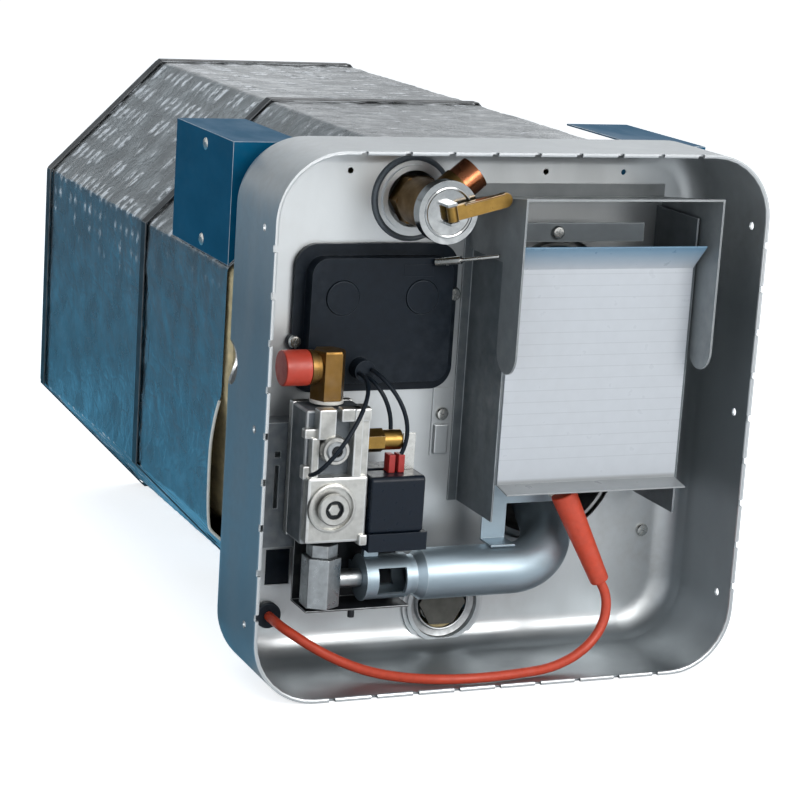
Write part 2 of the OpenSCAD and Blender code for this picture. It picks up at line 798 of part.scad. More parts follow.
module bracket_rivets() color("gainsboro") for (side = [0, 1], z = rivet_z)
    mirror([side, 0, 0]) translate([bracket_x0, rivet_y, z]) rivet();

// Jacket
module foil_jacket() color("lightsteelblue") difference() {
    along_y(foil_front_y, rear_y) polygon(octagon(0));
    along_y(foil_front_y - past, rear_y - foil) polygon(octagon(-foil));
    for (z = coupling_z) translate([0, rear_y + past, z]) forward(coupling_r + 1, foil + 2 * past);
}
module insulation() color("#d8c79a") difference() {
    along_y(back_y + seat, rear_y - foil) polygon(octagon(-foil));
    translate([0, tank_y1 + seat, mid_z]) forward(tank_r + seat, tank_len + tank_front_gap + past);
    for (z = coupling_z) translate([0, rear_y, z]) forward(coupling_r + seat, tank_rear_gap + past);
}
module strap(y) along_y(y - strap_w / 2, y + strap_w / 2) difference() {
    polygon(octagon(strap_t));
    polygon(octagon(0));
}
module rear_strap() color("#15181c") strap(rear_y - rear_strap_in);
module middle_strap() color("#15181c") strap(rear_y - middle_strap_in);

// Tank, flue and anode
module tank_section(r, l, e) {
    translate([0, e]) square([r, l - 2 * e]);
    square([r - e, l]);
    for (y = [e, l - e]) translate([r - e, y]) circle(e);
}
module tank_port(x, z, r) translate([x, tank_y0 + tank_edge, z])
    forward(r, tank_edge + tank_front_gap - seat);
module tank() color("slategray") difference() {
    union() {
        translate([0, tank_y0, mid_z]) rotate([-90, 0, 0]) rotate_extrude($fn = 96) difference() {
            tank_section(tank_r, tank_len, tank_edge);
            translate([0, tank_wall])
                tank_section(tank_r - tank_wall, tank_len - 2 * tank_wall, tank_edge - tank_wall);
        }
        tank_port(relief_x, relief_z, relief_thread_r + port_wall);
        tank_port(drain_x, drain_z, anode_thread_r + port_wall);
        for (z = coupling_z) translate([0, rear_y - foil / 2, z])
            forward(coupling_r, tank_rear_gap + tank_wall - foil / 2);
    }
    tank_port_cut(relief_x, relief_z, relief_thread_r + fit);
    tank_port_cut(drain_x, drain_z, anode_thread_r + fit);
    for (z = coupling_z) translate([0, rear_y, z])
        forward(coupling_bore_r, max(coupling_len, tank_rear_gap + tank_wall) + past);
    for (t = [[flue_z, flue_r], [flue_return_z, flue_return_r]])
        translate([flue_x, tank_y0 + tank_wall + past, t[0]]) forward(t[1] + fit, tank_wall + 2 * past);
}
module tank_port_cut(x, z, r) translate([x, tank_y0 + 2 * tank_edge, z]) forward(r, 4 * tank_edge);
module flue_solid(grow) {
    front = wall_y - (grow < 0 ? past : 0);
    cone_y = flue_bend_y - flue_cone;
    translate([flue_x, cone_y, flue_z]) forward(flue_r + grow, cone_y - front);
    translate([flue_x, cone_y, flue_z]) rotate([-90, 0, 0])
        cylinder(r1 = flue_r + grow, r2 = flue_return_r + grow, h = flue_cone);
    translate([flue_x, flue_bend_y, flue_z + flue_bend]) rotate([0, 90, 0])
        rotate_extrude(angle = 180) translate([flue_bend, 0]) circle(flue_return_r + grow);
    translate([flue_x, flue_bend_y, flue_return_z]) forward(flue_return_r + grow, flue_bend_y - front);
}
module flue_tube() color("dimgray") difference() {
    flue_solid(0);
    flue_solid(-flue_wall);
}
module anode_rod() color("gray") translate([drain_x, back_y + seat, drain_z]) {
    rotate([90, 0, 0]) cylinder(r = anode_hex_r, h = sheet + anode_hex, $fn = 6);
    rotate([-90, 0, 0]) cylinder(r = anode_thread_r, h = tank_edge);
    rotate([-90, 0, 0]) cylinder(r = anode_r, h = anode_len);
}

// Relief valve, with its test lever in a frame that is tilted about the valve's axis
module relief_at(f) at(relief_x, f, relief_z) children();
module lever_frame() relief_at(bonnet_reach) rotate([0, -lever_tilt, 0]) children();
module relief_body() color("#5a4a2c") difference() {
    union() {
        relief_at(-tank_front_gap - sheet - tank_edge)
            forward(relief_thread_r, tank_edge + tank_front_gap + 2 * sheet);
        relief_at(sheet) rotate([90, 0, 0]) cylinder(r = relief_hex_r, h = relief_hex_reach - sheet, $fn = 6);
        relief_at(relief_hex_reach) forward(relief_body_r, relief_neck_reach - relief_hex_reach);
        relief_at(outlet_reach) rotate([0, 90 - outlet_tilt, 0])
            cylinder(r = outlet_r + outlet_boss_wall, h = outlet_boss);
    }
    relief_at(-tank_edge * 2) forward(relief_port_r, relief_neck_reach);
    relief_at(stem_foot - seat) forward(relief_bore_r, relief_neck_reach);
    relief_at(outlet_reach) rotate([0, 90 - outlet_tilt, 0])
        cylinder(r = outlet_bore_r - outlet_step, h = outlet_boss + past);
}
module relief_outlet() color("#be7846") relief_at(outlet_reach) rotate([0, 90 - outlet_tilt, 0])
    translate([0, 0, outlet_boss]) difference() {
        cylinder(r = outlet_r, h = outlet_end - outlet_boss);
        translate([0, 0, -past]) cylinder(r = outlet_bore_r, h = outlet_end - outlet_boss + 2 * past);
    }
module relief_bonnet() color("gainsboro") difference() {
    union() {
        relief_at(relief_neck_reach) forward(relief_body_r, bonnet_reach - bonnet_rim - relief_neck_reach);
        relief_at(bonnet_reach - bonnet_rim) forward(bonnet_r, bonnet_rim);
        lever_frame() for (side = [-1, 1])
            translate([-hub_r, -pin_off - hub_r, side * (lever_w + ear_t) / 2 + side * ear_gap - ear_t / 2])
                cube([2 * hub_r, pin_off + hub_r, ear_t]);
    }
    relief_at(relief_neck_reach - past) forward(relief_bore_r, spring_roof - relief_neck_reach + past);
    relief_at(relief_neck_reach) forward(stem_r + run_fit, bonnet_rim + relief_neck_reach);
    lever_frame() translate([0, -pin_off, -lever_w]) cylinder(r = pin_r, h = 2 * lever_w);
}
module lever_pin() color("silver") lever_frame()
    translate([0, -pin_off, -lever_w / 2 - ear_gap - ear_t])
        cylinder(r = pin_r, h = lever_w + 2 * (ear_gap + ear_t));
module relief_lever() color("#967a3c") lever_frame() translate([0, -pin_off, 0]) difference() {
    union() {
        translate([0, 0, -lever_w / 2]) cylinder(r = hub_r, h = lever_w);
        translate([0, -lever_t / 2, -lever_w / 2]) cube([lever_len - lever_w / 2, lever_t, lever_w]);
        translate([lever_len - lever_w / 2, lever_t / 2, 0]) forward(lever_w / 2, lever_t);
    }
    translate([0, 0, -lever_w]) cylinder(r = pin_r + run_fit, h = 2 * lever_w);
}
module relief_stem() color("silver") {
    relief_at(stem_foot) forward(stem_r, stem_len);
    relief_at(stem_foot) forward(relief_bore_r - seat, stem_disc);
}
module relief_spring() color("gray")
    relief_at(stem_foot + stem_disc + seat + stem_lift) rotate([90, 0, 0])
        coil_spring(spring_r, spring_wire, spring_turns,
            spring_roof - stem_foot - stem_disc - stem_lift - 2 * seat);

// Thermostats, reset buttons and their rubber cover
module cover_block(inset, r, f0, f1) at(cover_x, f0, cover_z) rotate([90, 0, 0])
    linear_extrude(f1 - f0) rounded(cover_wide - 2 * inset, cover_tall - 2 * inset, r);
module thermostat_cover() color("#1e2832") difference() {
    union() {
        cover_block(0, cover_corner, 0, cover_flange);
        cover_block(cover_rim, face_corner, cover_flange, cover_reach);
        for (e = cover_ears) at(e[0], 0, e[1]) forward(ear_r, cover_flange);
        at(nub_x, cover_reach, nub_z) forward(nub_r, nub_len);
    }
    cover_block(cover_rim + cover_wall, hollow_corner, -past, cover_reach - cover_wall);
    for (x = pad_x) at(x, 0, pad_z) forward(pad_r + pad_gap, cover_reach + past);
    for (e = cover_ears) at(e[0], -past, e[1]) forward(screw_r + fit, cover_flange + 2 * past);
}
module press_pad(x) color("#26303a") at(x, cover_reach - cover_wall, pad_z)
    forward(pad_r, cover_wall + pad_proud);
module left_press_pad() press_pad(pad_x[0]);
module right_press_pad() press_pad(pad_x[1]);
module reset_button(x) color("#b03024")
    at(x, button_root, pad_z) forward(button_r, cover_reach - cover_wall - button_root);
module left_reset_button() reset_button(pad_x[0]);
module right_reset_button() reset_button(pad_x[1]);
module stat(x) difference() {
    at(x, -tank_front_gap - sheet, pad_z) forward(stat_r, stat_top + tank_front_gap + sheet);
    at(x, button_root - reset_travel - seat, pad_z) forward(button_r + run_fit, stat_top + reset_travel + past);
}
module thermostat() color("#3a3f45") stat(pad_x[0]);
module limit_switch() color("#3a3f45") stat(pad_x[1]);
module cover_retainer() color("gainsboro") {
    rod(retainer_a, retainer_b, rod_r, rod_r);
    rod(retainer_a, retainer_a + sleeve_share * (retainer_b - retainer_a), sleeve_r, sleeve_r);
}

// Screws
module screw(s, grip) at(s[0], s[2], s[1]) {
    rotate([90, 0, 0]) cylinder(r1 = screw_head_r, r2 = screw_head_r * 0.75, h = screw_head);
    rotate([-90, 0, 0]) cylinder(r = screw_r, h = grip);
}
module housing_screws() color("gainsboro") {
    for (s = screws) screw(s, s[2] + sheet);
    screw(bar_screw, bar_grip * sheet);
}
module wiring_strip() color("silver") difference() {
    plate(strip_x, [0, sheet], strip_z);
    at(strip_screw[0], -past, strip_screw[1]) forward(screw_r + fit, sheet + 2 * past);
}

// Gas inlet
module inlet_at(z) at(inlet_x, inlet_f, z) children();
module inlet_washer() color("white") inlet_at(valve_top) cylinder(r = washer_r, h = washer_t);
module inlet_elbow() color("#967a3c") {
    inlet_at(elbow_z0) cylinder(r = elbow_r, h = elbow_rise);
    inlet_at(elbow_axis_z) sphere(r = elbow_r);
    inlet_at(elbow_axis_z) rotate([0, -90, 0]) cylinder(r = elbow_r, h = elbow_run);
    inlet_at(elbow_axis_z) rotate([0, -90, 0]) cylinder(r = flare_r, h = elbow_run + flare_len);
}
module inlet_cap() color("#c84b37") inlet_at(elbow_axis_z) rotate([0, -90, 0]) difference() {
    translate([0, 0, elbow_run]) cylinder(r = elbow_r, h = cap_len);
    cylinder(r = flare_r + fit, h = elbow_run + flare_len + seat);
}

// Gas valve
module valve_pad(left, z0, z1)
    plate([valve_left + left, valve_right - face_in], [valve_f[1], pad_front], [z0, z1]);
module gas_valve_body() color("lightgray") {
    plate([valve_left, valve_right], valve_f, [valve_z, valve_top]);
    valve_pad(lower_in, valve_z + face_low, regulator_z + face_high);
    valve_pad(upper_in, tap_z + upper_gap, valve_top);
    at(boss_x, valve_f[1], regulator_z) forward(regulator_r, boss_front - valve_f[1]);
    at(boss_x, valve_f[1], tap_z) forward(tap_r, boss_front - valve_f[1]);
    plate([valve_left + lug_in, valve_left + lug_in + lug_w], [valve_f[1], pad_front],
        [valve_z + lug_rise, valve_z + lug_rise + lug_h]);
}
module regulator_cap() color("silver") at(boss_x, boss_front, regulator_z) difference() {
    union() {
        forward(regulator_r - cap_rim, cap_disc);
        forward(cap_hub_r, cap_hub);
    }
    translate([-regulator_r, -cap_hub - past, -slot_w / 2]) cube([2 * regulator_r, slot_deep + past, slot_w]);
}
module pressure_tap_plug() color("gray") at(boss_x, boss_front, tap_z) difference() {
    forward(tap_r - tap_rim, tap_plug);
    translate([0, tap_key - tap_plug, 0]) rotate([90, 0, 0])
        cylinder(r = tap_key_r, h = tap_key + past, $fn = 6);
}
module coil_at(f) translate([valve_right, wall_y - f - coil_depth / 2, coil_z + coil_h / 2]) children();
module coil(f) coil_at(f) difference() {
    rotate([90, 0, 90]) linear_extrude(coil_len) rounded(coil_depth, coil_h, coil_corner);
    translate([-past, 0, 0]) across(plunger_r + run_fit, coil_bore_len + past);
}
module rear_coil() color("#101418") coil(coil_f[0]);
module front_coil() color("#101418") coil(coil_f[1]);
module plunger(f) color("silver") coil_at(f) translate([seat, 0, 0]) across(plunger_r, plunger_len);
module rear_plunger() plunger(coil_f[0]);
module front_plunger() plunger(coil_f[1]);
module plunger_springs() color("gray") for (f = coil_f)
    coil_at(f) translate([plunger_len + 2 * seat, 0, 0]) rotate([0, 90, 0])
        coil_spring(plunger_r - plunger_spring_in, plunger_spring_wire, plunger_spring_turns,
            plunger_spring_len);
module coil_yoke() color("#14181c")
    plate([valve_right, valve_right + coil_len + yoke_past], [coil_f[0], coil_f[1] + coil_depth],
        [yoke_z, coil_z]);
module gas_connector() color("#b08d45") at(valve_right, connector_f, connector_z) {
    across(connector_r, connector_len);
    rotate([0, 90, 0]) cylinder(r = connector_hex_r, h = connector_len / 2, $fn = 6);
}
module coil_terminals() color("#c03a30") for (x = terminal_x)
    plate([x, x + terminal_w], [connector_f, connector_f + terminal_depth], [coil_top, terminal_z]);
module terminal_blade() color("lightsteelblue")
    plate([valve_right + coil_len - blade_in - blade_w, valve_right + coil_len - blade_in],
        [connector_f, connector_f + sheet], [coil_top, coil_top + blade_h]);
module valve_bracket() color("dimgray") difference() {
    union() {
        plate(plate_x, [valve_stand - sheet, valve_stand], plate_z);
        plate(plate_x, [0, valve_stand], [plate_z[0], plate_z[0] + sheet]);
        plate(plate_x, [0, valve_stand], [plate_z[1] - sheet, plate_z[1]]);
    }
    plate(slot_x, [sheet, valve_stand + past], slot_z);
    plate(key_x, [sheet, valve_stand + past], key_z);
}

// Gas outlet and burner
module outlet_at(z) at(outlet_x, burner_reach, z) children();
module outlet_nut() color("silver")
    outlet_at(valve_z - nut_h) rotate([0, 0, 30]) cylinder(r = nut_r, h = nut_h, $fn = 6);
module outlet_elbow() color("#8fa0a4")
    outlet_at(hex_z) rotate([0, 0, 30]) cylinder(r = hex_r, h = hex_h, $fn = 6);
module burner_orifice() color("gainsboro") at(orifice_x, burner_reach, burner_z) {
    across(orifice_r, end_plate_x - orifice_x - fit);
    across(jet_r, inlet_x0 + jet_len - orifice_x);
}
module burner_solid(grow) {
    flare_start = inlet_len + sheet / 2;
    flare_end = flare_start + flare_step;
    main_len = bend_x - inlet_x0 + sheet / 2;
    run = burner_run + (grow < 0 ? past : 0);
    translate([-main_len, 0, 0]) rotate([90, 0, 90]) rotate([0, 0, 180]) rotate_extrude()
        polygon([[0, 0], [inlet_r + grow, 0], [inlet_r + grow, flare_start], [burner_r + grow, flare_end],
            [burner_r + grow, main_len], [0, main_len]]);
    translate([0, burner_bend, 0]) {
        rotate([0, 0, -90]) rotate_extrude(angle = 90) translate([burner_bend, 0]) circle(burner_r + grow);
        translate([burner_bend, 0, 0]) rotate([-90, 0, 0]) cylinder(r = burner_r + grow, h = run);
    }
}
module burner_shell() translate([bend_x, burner_y, burner_z]) rotate([burner_rise, 0, 0]) difference() {
    union() burner_solid(0);
    burner_solid(-burner_wall);
}
module air_windows(r) for (side = [-1, 1])
    translate([window_x, burner_y + (side - 1) * r, burner_z - window_h / 2])
        cube([window_len, 2 * r, window_h]);
module burner_tube() color("lightsteelblue") {
    difference() {
        burner_shell();
        air_windows(inlet_r);
    }
    difference() {
        union() {
            at(end_plate_x, burner_reach, burner_z) across(inlet_r + end_plate_rim, sheet);
            plate([end_plate_x, inlet_x0], [under_f[0] + sheet, burner_reach],
                [burner_z - end_plate_foot, burner_z + end_plate_foot]);
        }
        at(end_plate_x - past, burner_reach, burner_z) across(jet_hole_r, sheet + 2 * past);
    }
}
module air_shutter() color("gainsboro") difference() {
    union() {
        translate([inlet_x0 + seat, burner_y, burner_z]) across(shutter_r + shutter_t, shutter_len);
        translate([inlet_x0 + seat, burner_y - tab_w / 2, burner_z + shutter_r])
            cube([shutter_len / 3, tab_w, tab_h]);
    }
    translate([inlet_x0 - past, burner_y, burner_z]) across(shutter_r, shutter_len + 3 * past);
    air_windows(inlet_r + 2 * shutter_t);
}
module burner_bracket() color("#14181c") {
    plate(under_x, [under_f[0], under_f[0] + sheet], [under_z, under_top]);
    plate(under_x, [under_f[0], under_f[1]], [under_z, under_z + sheet]);
    for (x = wing_x) plate([x, x + sheet], [0, under_f[0]], [under_z + wing_in, plate_z[0] - seat]);
    at(hook_x, under_f[1] - hook_in, under_z - hook_len) cylinder(r = hook_r, h = hook_len);
}

// Ignition
module electrode_bracket() color("lightgray") difference() {
    union() {
        plate(foot_x, [arm_f[0], burner_reach + foot_past], [foot_z, foot_z + sheet]);
        plate(foot_x, arm_f, [foot_z, arm_z[1]]);
        plate([foot_x[0], electrode_x + arm_past], arm_f, arm_z);
    }
    at(electrode_x, 0, electrode_z) forward(electrode_r + fit, 2 * arm_f[1]);
}
module electrode() color("ivory") {
    at(electrode_x, electrode_back, electrode_z)
        forward(electrode_r, wall_y - boot_top[1] - boot_depth - electrode_back);
    at(electrode_x, tip_reach, electrode_z) forward(tip_r, electrode_back);
}
module ignition_boot() color("#c8502d") rod(boot_top, boot_end, boot_top_r, boot_end_r);
module ignition_lead() color("#c8502d") swept_tube(lead_points, lead_d / 2, 10);
module lead_grommet() color("#181a1c") at(grommet_x, 0, grommet_z) {
    forward(grommet_r, grommet_len);
    rotate([-90, 0, 0]) cylinder(r = grommet_hole_r - fit, h = 2 * sheet);
}
module valve_wires() color("#16181a") for (route = wire_routes) swept_tube(route, wire_r, 8);

// Flue box, label plate and hood
module box_wall(x) plate([x, x + sheet], [0, flue_box_reach], [box_z, box_top]);
module box_rear(x) plate([x, x + rear_flange], [0, sheet], [box_z, box_top]);
module box_front(x)
    plate([x, x + front_flange], [flue_box_reach - sheet, flue_box_reach], [label_z, label_top]);
module flue_box() color("dimgray") difference() {
    union() {
        box_wall(flue_box_x);
        box_wall(box_x1 - sheet);
        box_rear(flue_box_x - rear_flange);
        box_rear(box_x1);
        box_front(flue_box_x);
        box_front(box_x1 - front_flange);
        plate([flue_box_x, box_x1], [0, sheet],
            [flue_z + flue_r + 2 * flue_hole_gap, flue_return_z - flue_return_r - 2 * flue_hole_gap]);
        plate([flue_box_x, flue_box_x + bar_len], [bar_f, bar_f + sheet], bar_z);
    }
    at(bar_screw[0], 0, bar_screw[1]) forward(screw_r + fit, flue_box_reach);
}
module label_plate() color("whitesmoke") section_across(label_x, label_x + label_wide)
    polygon(bent_sheet([[flue_box_reach + lip_out, label_top + lip_up], [flue_box_reach, label_top],
        [flue_box_reach, label_z], [flue_box_reach + lip_out, label_z - lip_down]], label_t));
module hood_cheek() {
    tongue_f = hood_reach - tongue_w;
    tongue_mid = tongue_z + tongue_w / 2;
    polygon([[sheet, hood_z + hood_rise * sheet / hood_reach], [hood_reach, hood_z + hood_rise],
        [hood_reach, tongue_mid], [tongue_f, tongue_mid], [tongue_f, hood_side_z], [sheet, hood_side_z]]);
    translate([hood_reach - tongue_w / 2, tongue_mid]) circle(tongue_w / 2);
}
module flue_hood() color("gray") {
    section_across(hood_x[0], hood_x[0] + sheet) hood_cheek();
    section_across(hood_x[1] - sheet, hood_x[1]) hood_cheek();
    section_across(hood_x[0], hood_x[1])
        polygon(bent_sheet([[hood_reach, hood_z + hood_rise], [0, hood_z]], sheet));
    plate(hood_x, [0, sheet], [hood_z - sheet, hood_z + hood_up]);
}

control_housing();
left_bracket();
right_bracket();
bracket_rivets();
foil_jacket();
insulation();
rear_strap();
middle_strap();
tank();
flue_tube();
anode_rod();
relief_body();
relief_outlet();
relief_bonnet();
relief_lever();
lever_pin();
relief_stem();
relief_spring();
thermostat_cover();
left_press_pad();
right_press_pad();
left_reset_button();
right_reset_button();
thermostat();
limit_switch();
cover_retainer();
housing_screws();
wiring_strip();
inlet_cap();
inlet_elbow();
inlet_washer();
gas_valve_body();
regulator_cap();
pressure_tap_plug();
front_coil();
rear_coil();
coil_yoke();
front_plunger();
rear_plunger();
plunger_springs();
gas_connector();
coil_terminals();
terminal_blade();
valve_bracket();
outlet_nut();
outlet_elbow();
burner_orifice();
burner_tube();
air_shutter();
burner_bracket();
electrode();
electrode_bracket();
ignition_boot();
ignition_lead();
lead_grommet();
valve_wires();
flue_box();
label_plate();
flue_hood();
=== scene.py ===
"""Dresses a built-in caravan water heater: pan, foil jacket, valves, burner, flue, lead and studio."""

import json
import math

import bmesh
import bpy
from bpy.props import FloatProperty, FloatVectorProperty, IntProperty, PointerProperty
from mathutils import Matrix, Vector, noise
from mathutils.geometry import delaunay_2d_cdt

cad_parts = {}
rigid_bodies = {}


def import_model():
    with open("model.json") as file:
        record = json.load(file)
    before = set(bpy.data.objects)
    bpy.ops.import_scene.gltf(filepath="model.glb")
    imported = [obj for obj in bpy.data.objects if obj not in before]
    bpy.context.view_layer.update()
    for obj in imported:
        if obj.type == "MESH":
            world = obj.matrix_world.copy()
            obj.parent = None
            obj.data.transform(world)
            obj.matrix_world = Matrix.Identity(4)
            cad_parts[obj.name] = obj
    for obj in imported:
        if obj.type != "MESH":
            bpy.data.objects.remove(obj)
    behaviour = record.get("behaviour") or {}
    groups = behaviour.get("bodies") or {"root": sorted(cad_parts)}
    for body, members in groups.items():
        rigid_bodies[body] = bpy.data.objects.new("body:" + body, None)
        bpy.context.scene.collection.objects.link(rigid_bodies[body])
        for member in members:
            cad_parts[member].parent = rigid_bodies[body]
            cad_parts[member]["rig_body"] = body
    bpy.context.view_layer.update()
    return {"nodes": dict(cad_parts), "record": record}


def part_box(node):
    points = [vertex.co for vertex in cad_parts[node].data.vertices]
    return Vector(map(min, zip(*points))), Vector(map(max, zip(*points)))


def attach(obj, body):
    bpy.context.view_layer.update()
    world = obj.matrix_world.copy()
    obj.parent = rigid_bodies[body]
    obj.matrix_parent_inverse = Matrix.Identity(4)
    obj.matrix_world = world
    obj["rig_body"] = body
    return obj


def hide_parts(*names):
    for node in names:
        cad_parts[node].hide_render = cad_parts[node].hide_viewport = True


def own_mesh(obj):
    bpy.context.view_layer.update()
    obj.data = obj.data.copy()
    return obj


bl_info = {
    "name": "Caravan Water Heater",
    "version": (1, 0, 0),
    "blender": (4, 5, 0),
    "location": "3D View > Sidebar > Water Heater",
    "description": "Finishes and small fittings of a gas water heater for a caravan wall",
    "category": "Object",
}

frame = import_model()
NODES = frame["nodes"]
SLOTS = {item["node"]: item["material_slot"] for item in frame["record"]["subparts"]}

FRONT = (0, -1, 0)  # out of the pan
WALL = -0.1647  # front face of the pan's rear wall


# Colours and sizes


def linear(*screen):
    """A colour in screen values as the linear values that Blender keeps."""
    shares = [part / 255.0 for part in screen]
    return tuple(
        share / 12.92 if share <= 0.04045 else ((share + 0.055) / 1.055) ** 2.4 for share in shares
    )


def tint(name, description, *screen):
    """A colour property with a default in screen values."""
    return FloatVectorProperty(
        name=name, description=description, subtype="COLOR", size=3,
        min=0.0, max=1.0, default=linear(*screen),
    )


def size(name, description, metres):
    """A length property with a default in metres."""
    return FloatProperty(
        name=name, description=description, unit="LENGTH", subtype="DISTANCE",
        min=0.0, precision=5, default=metres,
    )


class HeaterColours(bpy.types.PropertyGroup):
    """Finish colours of the heater."""

    pan: tint("Pan", "Galvanised sheet of the control pan", 200, 204, 206)
    bracket: tint("Bracket", "Blue paint of the mounting brackets", 0, 82, 115)
    foil: tint("Foil", "Aluminium foil of the jacket", 176, 181, 184)
    fibre: tint("Fibre", "Glass fibre under the foil", 224, 204, 158)
    strap: tint("Strap", "Painted steel straps", 26, 30, 34)
    tank: tint("Tank", "Aluminium tank", 176, 178, 178)
    bright: tint("Bright steel", "Turned and plated bright steel", 214, 214, 210)
    plated: tint("Plated steel", "Zinc plated screws and fittings", 176, 180, 182)
    brass: tint("Brass", "Yellow brass", 158, 126, 68)
    dark_brass: tint("Dark brass", "Brass gone brown with heat", 128, 98, 54)
    copper: tint("Copper", "Copper outlet stub", 190, 120, 84)
    chrome: tint("Chrome", "Plated bonnet", 180, 183, 184)
    rubber: tint("Rubber", "Black rubber", 15, 25, 35)
    button: tint("Button", "Red reset buttons and terminals", 176, 48, 42)
    cap: tint("Cap", "Red shipping cap", 194, 62, 42)
    washer: tint("Washer", "White fibre washer", 232, 230, 222)
    stat: tint("Thermostat", "Dark plastic of the thermostats", 44, 42, 42)
    cast: tint("Casting", "Zinc casting of the gas valve", 198, 198, 194)
    coil: tint("Coil", "Moulded coils", 20, 29, 40)
    grey: tint("Grey bracket", "Dark painted valve bracket", 98, 105, 111)
    burner: tint("Burner steel", "Heat treated burner tube", 163, 179, 189)
    black: tint("Black steel", "Blackened burner bracket", 34, 37, 41)
    ceramic: tint("Ceramic", "Glazed insulator", 232, 228, 216)
    lead: tint("Lead", "Silicone of the ignition lead", 204, 70, 42)
    box: tint("Flue box", "Painted flue box", 96, 103, 107)
    hood: tint("Flue hood", "Painted flue hood", 134, 139, 141)
    label: tint("Label plate", "Bare white plate", 190, 194, 199)
    anode: tint("Anode", "Magnesium rod and its plug", 94, 94, 90)


class HeaterSizes(bpy.types.PropertyGroup):
    """Sizes of the heater's dressed pieces."""

    chamfer: size("Jacket chamfer", "Cut corner of the jacket", 0.080)
    coupling: size("Coupling offset", "Distance of the water couplings from the jacket's middle", 0.095)
    fold: size("Foil fold", "Rounding of the foil over the corners", 0.006)
    crinkle: size("Foil crinkle", "Depth of the crinkles in the foil", 0.0013)
    pimple: size("Foil pimple", "Pitch of the pressed pattern in the foil", 0.0125)
    lead: size("Lead", "Diameter of the ignition lead", 0.006)
    wire: size("Wire", "Diameter of the valve wires", 0.0026)
    ease: size("Eased edge", "Rounding of sheet and machined edges", 0.0006)
    bead: size("Rim bead", "Radius of the rolled rim of the pan", 0.0011)
    corner: size("Pan corner", "Rounding of the pan's outer corners", 0.040)
    tab: size("Rim tab pitch", "Distance between the notches of the rim", 0.0265)
    facets: IntProperty(name="Facets", description="Sides of turned pieces", default=48, min=12, max=128)


# Shaders


class Wiring:
    """Adds and joins the nodes of one material or node group."""

    def __init__(self, tree):
        self.tree = tree

    def fill(self, node, inputs):
        """Sets or links the named inputs of a node."""
        for key, value in inputs.items():
            if isinstance(value, bpy.types.NodeSocket):
                self.tree.links.new(value, node.inputs[key])
            else:
                node.inputs[key].default_value = value
        return node

    def add(self, kind, inputs=None, **settings):
        """A node with its settings and inputs."""
        node = self.tree.nodes.new(kind)
        for key, value in settings.items():
            setattr(node, key, value)
        return self.fill(node, inputs or {})

    def share(self, group, **inputs):
        """A use of one of the shared node groups."""
        return self.add("ShaderNodeGroup", inputs, node_tree=shared_group(group)).outputs[0]

    def sums(self, operation, first, second):
        """The result of a sum on two values."""
        return self.add("ShaderNodeMath", {0: first, 1: second}, operation=operation).outputs[0]

    def times(self, product, *factors):
        """The product of two or more values."""
        for factor in factors:
            product = self.sums("MULTIPLY", product, factor)
        return product

    def axis(self, vector, name):
        """One axis of a vector."""
        return self.add("ShaderNodeSeparateXYZ", {"Vector": vector}).outputs[name]

    def spots(self, vector, scale, detail):
        """Soft noise at one scale."""
        spans = {"Vector": vector, "Scale": scale, "Detail": detail}
        return self.add("ShaderNodeTexNoise", spans).outputs[0]

    def ramp(self, value, low, high, start=0.0, end=1.0):
        """A value stretched from one span to another."""
        spans = {"Value": value, "From Min": low, "From Max": high, "To Min": start, "To Max": end}
        return self.add("ShaderNodeMapRange", spans).outputs[0]

    def blend(self, share, first, second):
        """Two colours mixed, each a socket or three parts."""
        node = self.add("ShaderNodeMix", {0: share}, data_type="RGBA")
        for key, colour in ((6, first), (7, second)):
            linked = isinstance(colour, bpy.types.NodeSocket)
            self.fill(node, {key: colour if linked else (*colour, 1.0)})
        return node.outputs[2]


def build_grain(wiring, vector, stretch, scale):
    """Fine stretched grain, from 0 to 1."""
    pulled = wiring.add("ShaderNodeVectorMath", {0: vector, 1: stretch}, operation="MULTIPLY").outputs[0]
    return wiring.ramp(wiring.spots(pulled, scale, 5.0), 0.32, 0.68)


def build_stain(wiring, vector, scale, amount):
    """Soft patches of dust and water marks."""
    patch = wiring.ramp(wiring.spots(vector, scale, 3.0), 0.48, 0.72)
    speck = wiring.ramp(wiring.spots(vector, 160.0, 4.0), 0.40, 0.75)
    return wiring.times(patch, speck, amount)


def build_rub(wiring, vector, amount):
    """Bright rubbed edges, read from the faces that were eased."""
    edge = wiring.add("ShaderNodeAttribute", attribute_name="edge").outputs["Fac"]
    broken = wiring.ramp(wiring.spots(vector, 90.0, 3.0), 0.25, 0.55, 0.35, 1.0)
    return wiring.times(edge, broken, amount)


def build_foil(wiring, vector, scale):
    """Height of the fine creases in foil."""
    spans = {"Vector": vector, "Scale": scale}
    cells = wiring.add("ShaderNodeTexVoronoi", spans, feature="DISTANCE_TO_EDGE")
    crease = wiring.ramp(cells.outputs["Distance"], 0.0, 0.12)
    waves = wiring.spots(vector, 130.0, 4.0)
    return wiring.sums("ADD", wiring.times(crease, 0.2), wiring.times(waves, 0.8))


def build_painted_glint(wiring, vector, amount):
    """Painted glints: the foil's pressed flecks made bright, read from its points."""
    mark = wiring.add("ShaderNodeAttribute", attribute_name="fleck").outputs["Fac"]
    broken = wiring.ramp(wiring.spots(vector, 210.0, 3.0), 0.36, 0.56)
    return wiring.times(wiring.ramp(mark, 0.08, 0.34), broken, amount)


def build_rules(wiring, vector, pitch, low, high):
    """Faint level hairlines between two heights."""
    height = wiring.axis(vector, "Z")
    row = wiring.sums("FRACT", wiring.sums("DIVIDE", height, pitch), 0.0)
    line = wiring.sums("LESS_THAN", row, 0.07)
    above = wiring.sums("GREATER_THAN", height, low)
    below = wiring.sums("LESS_THAN", height, high)
    return wiring.times(line, above, below)


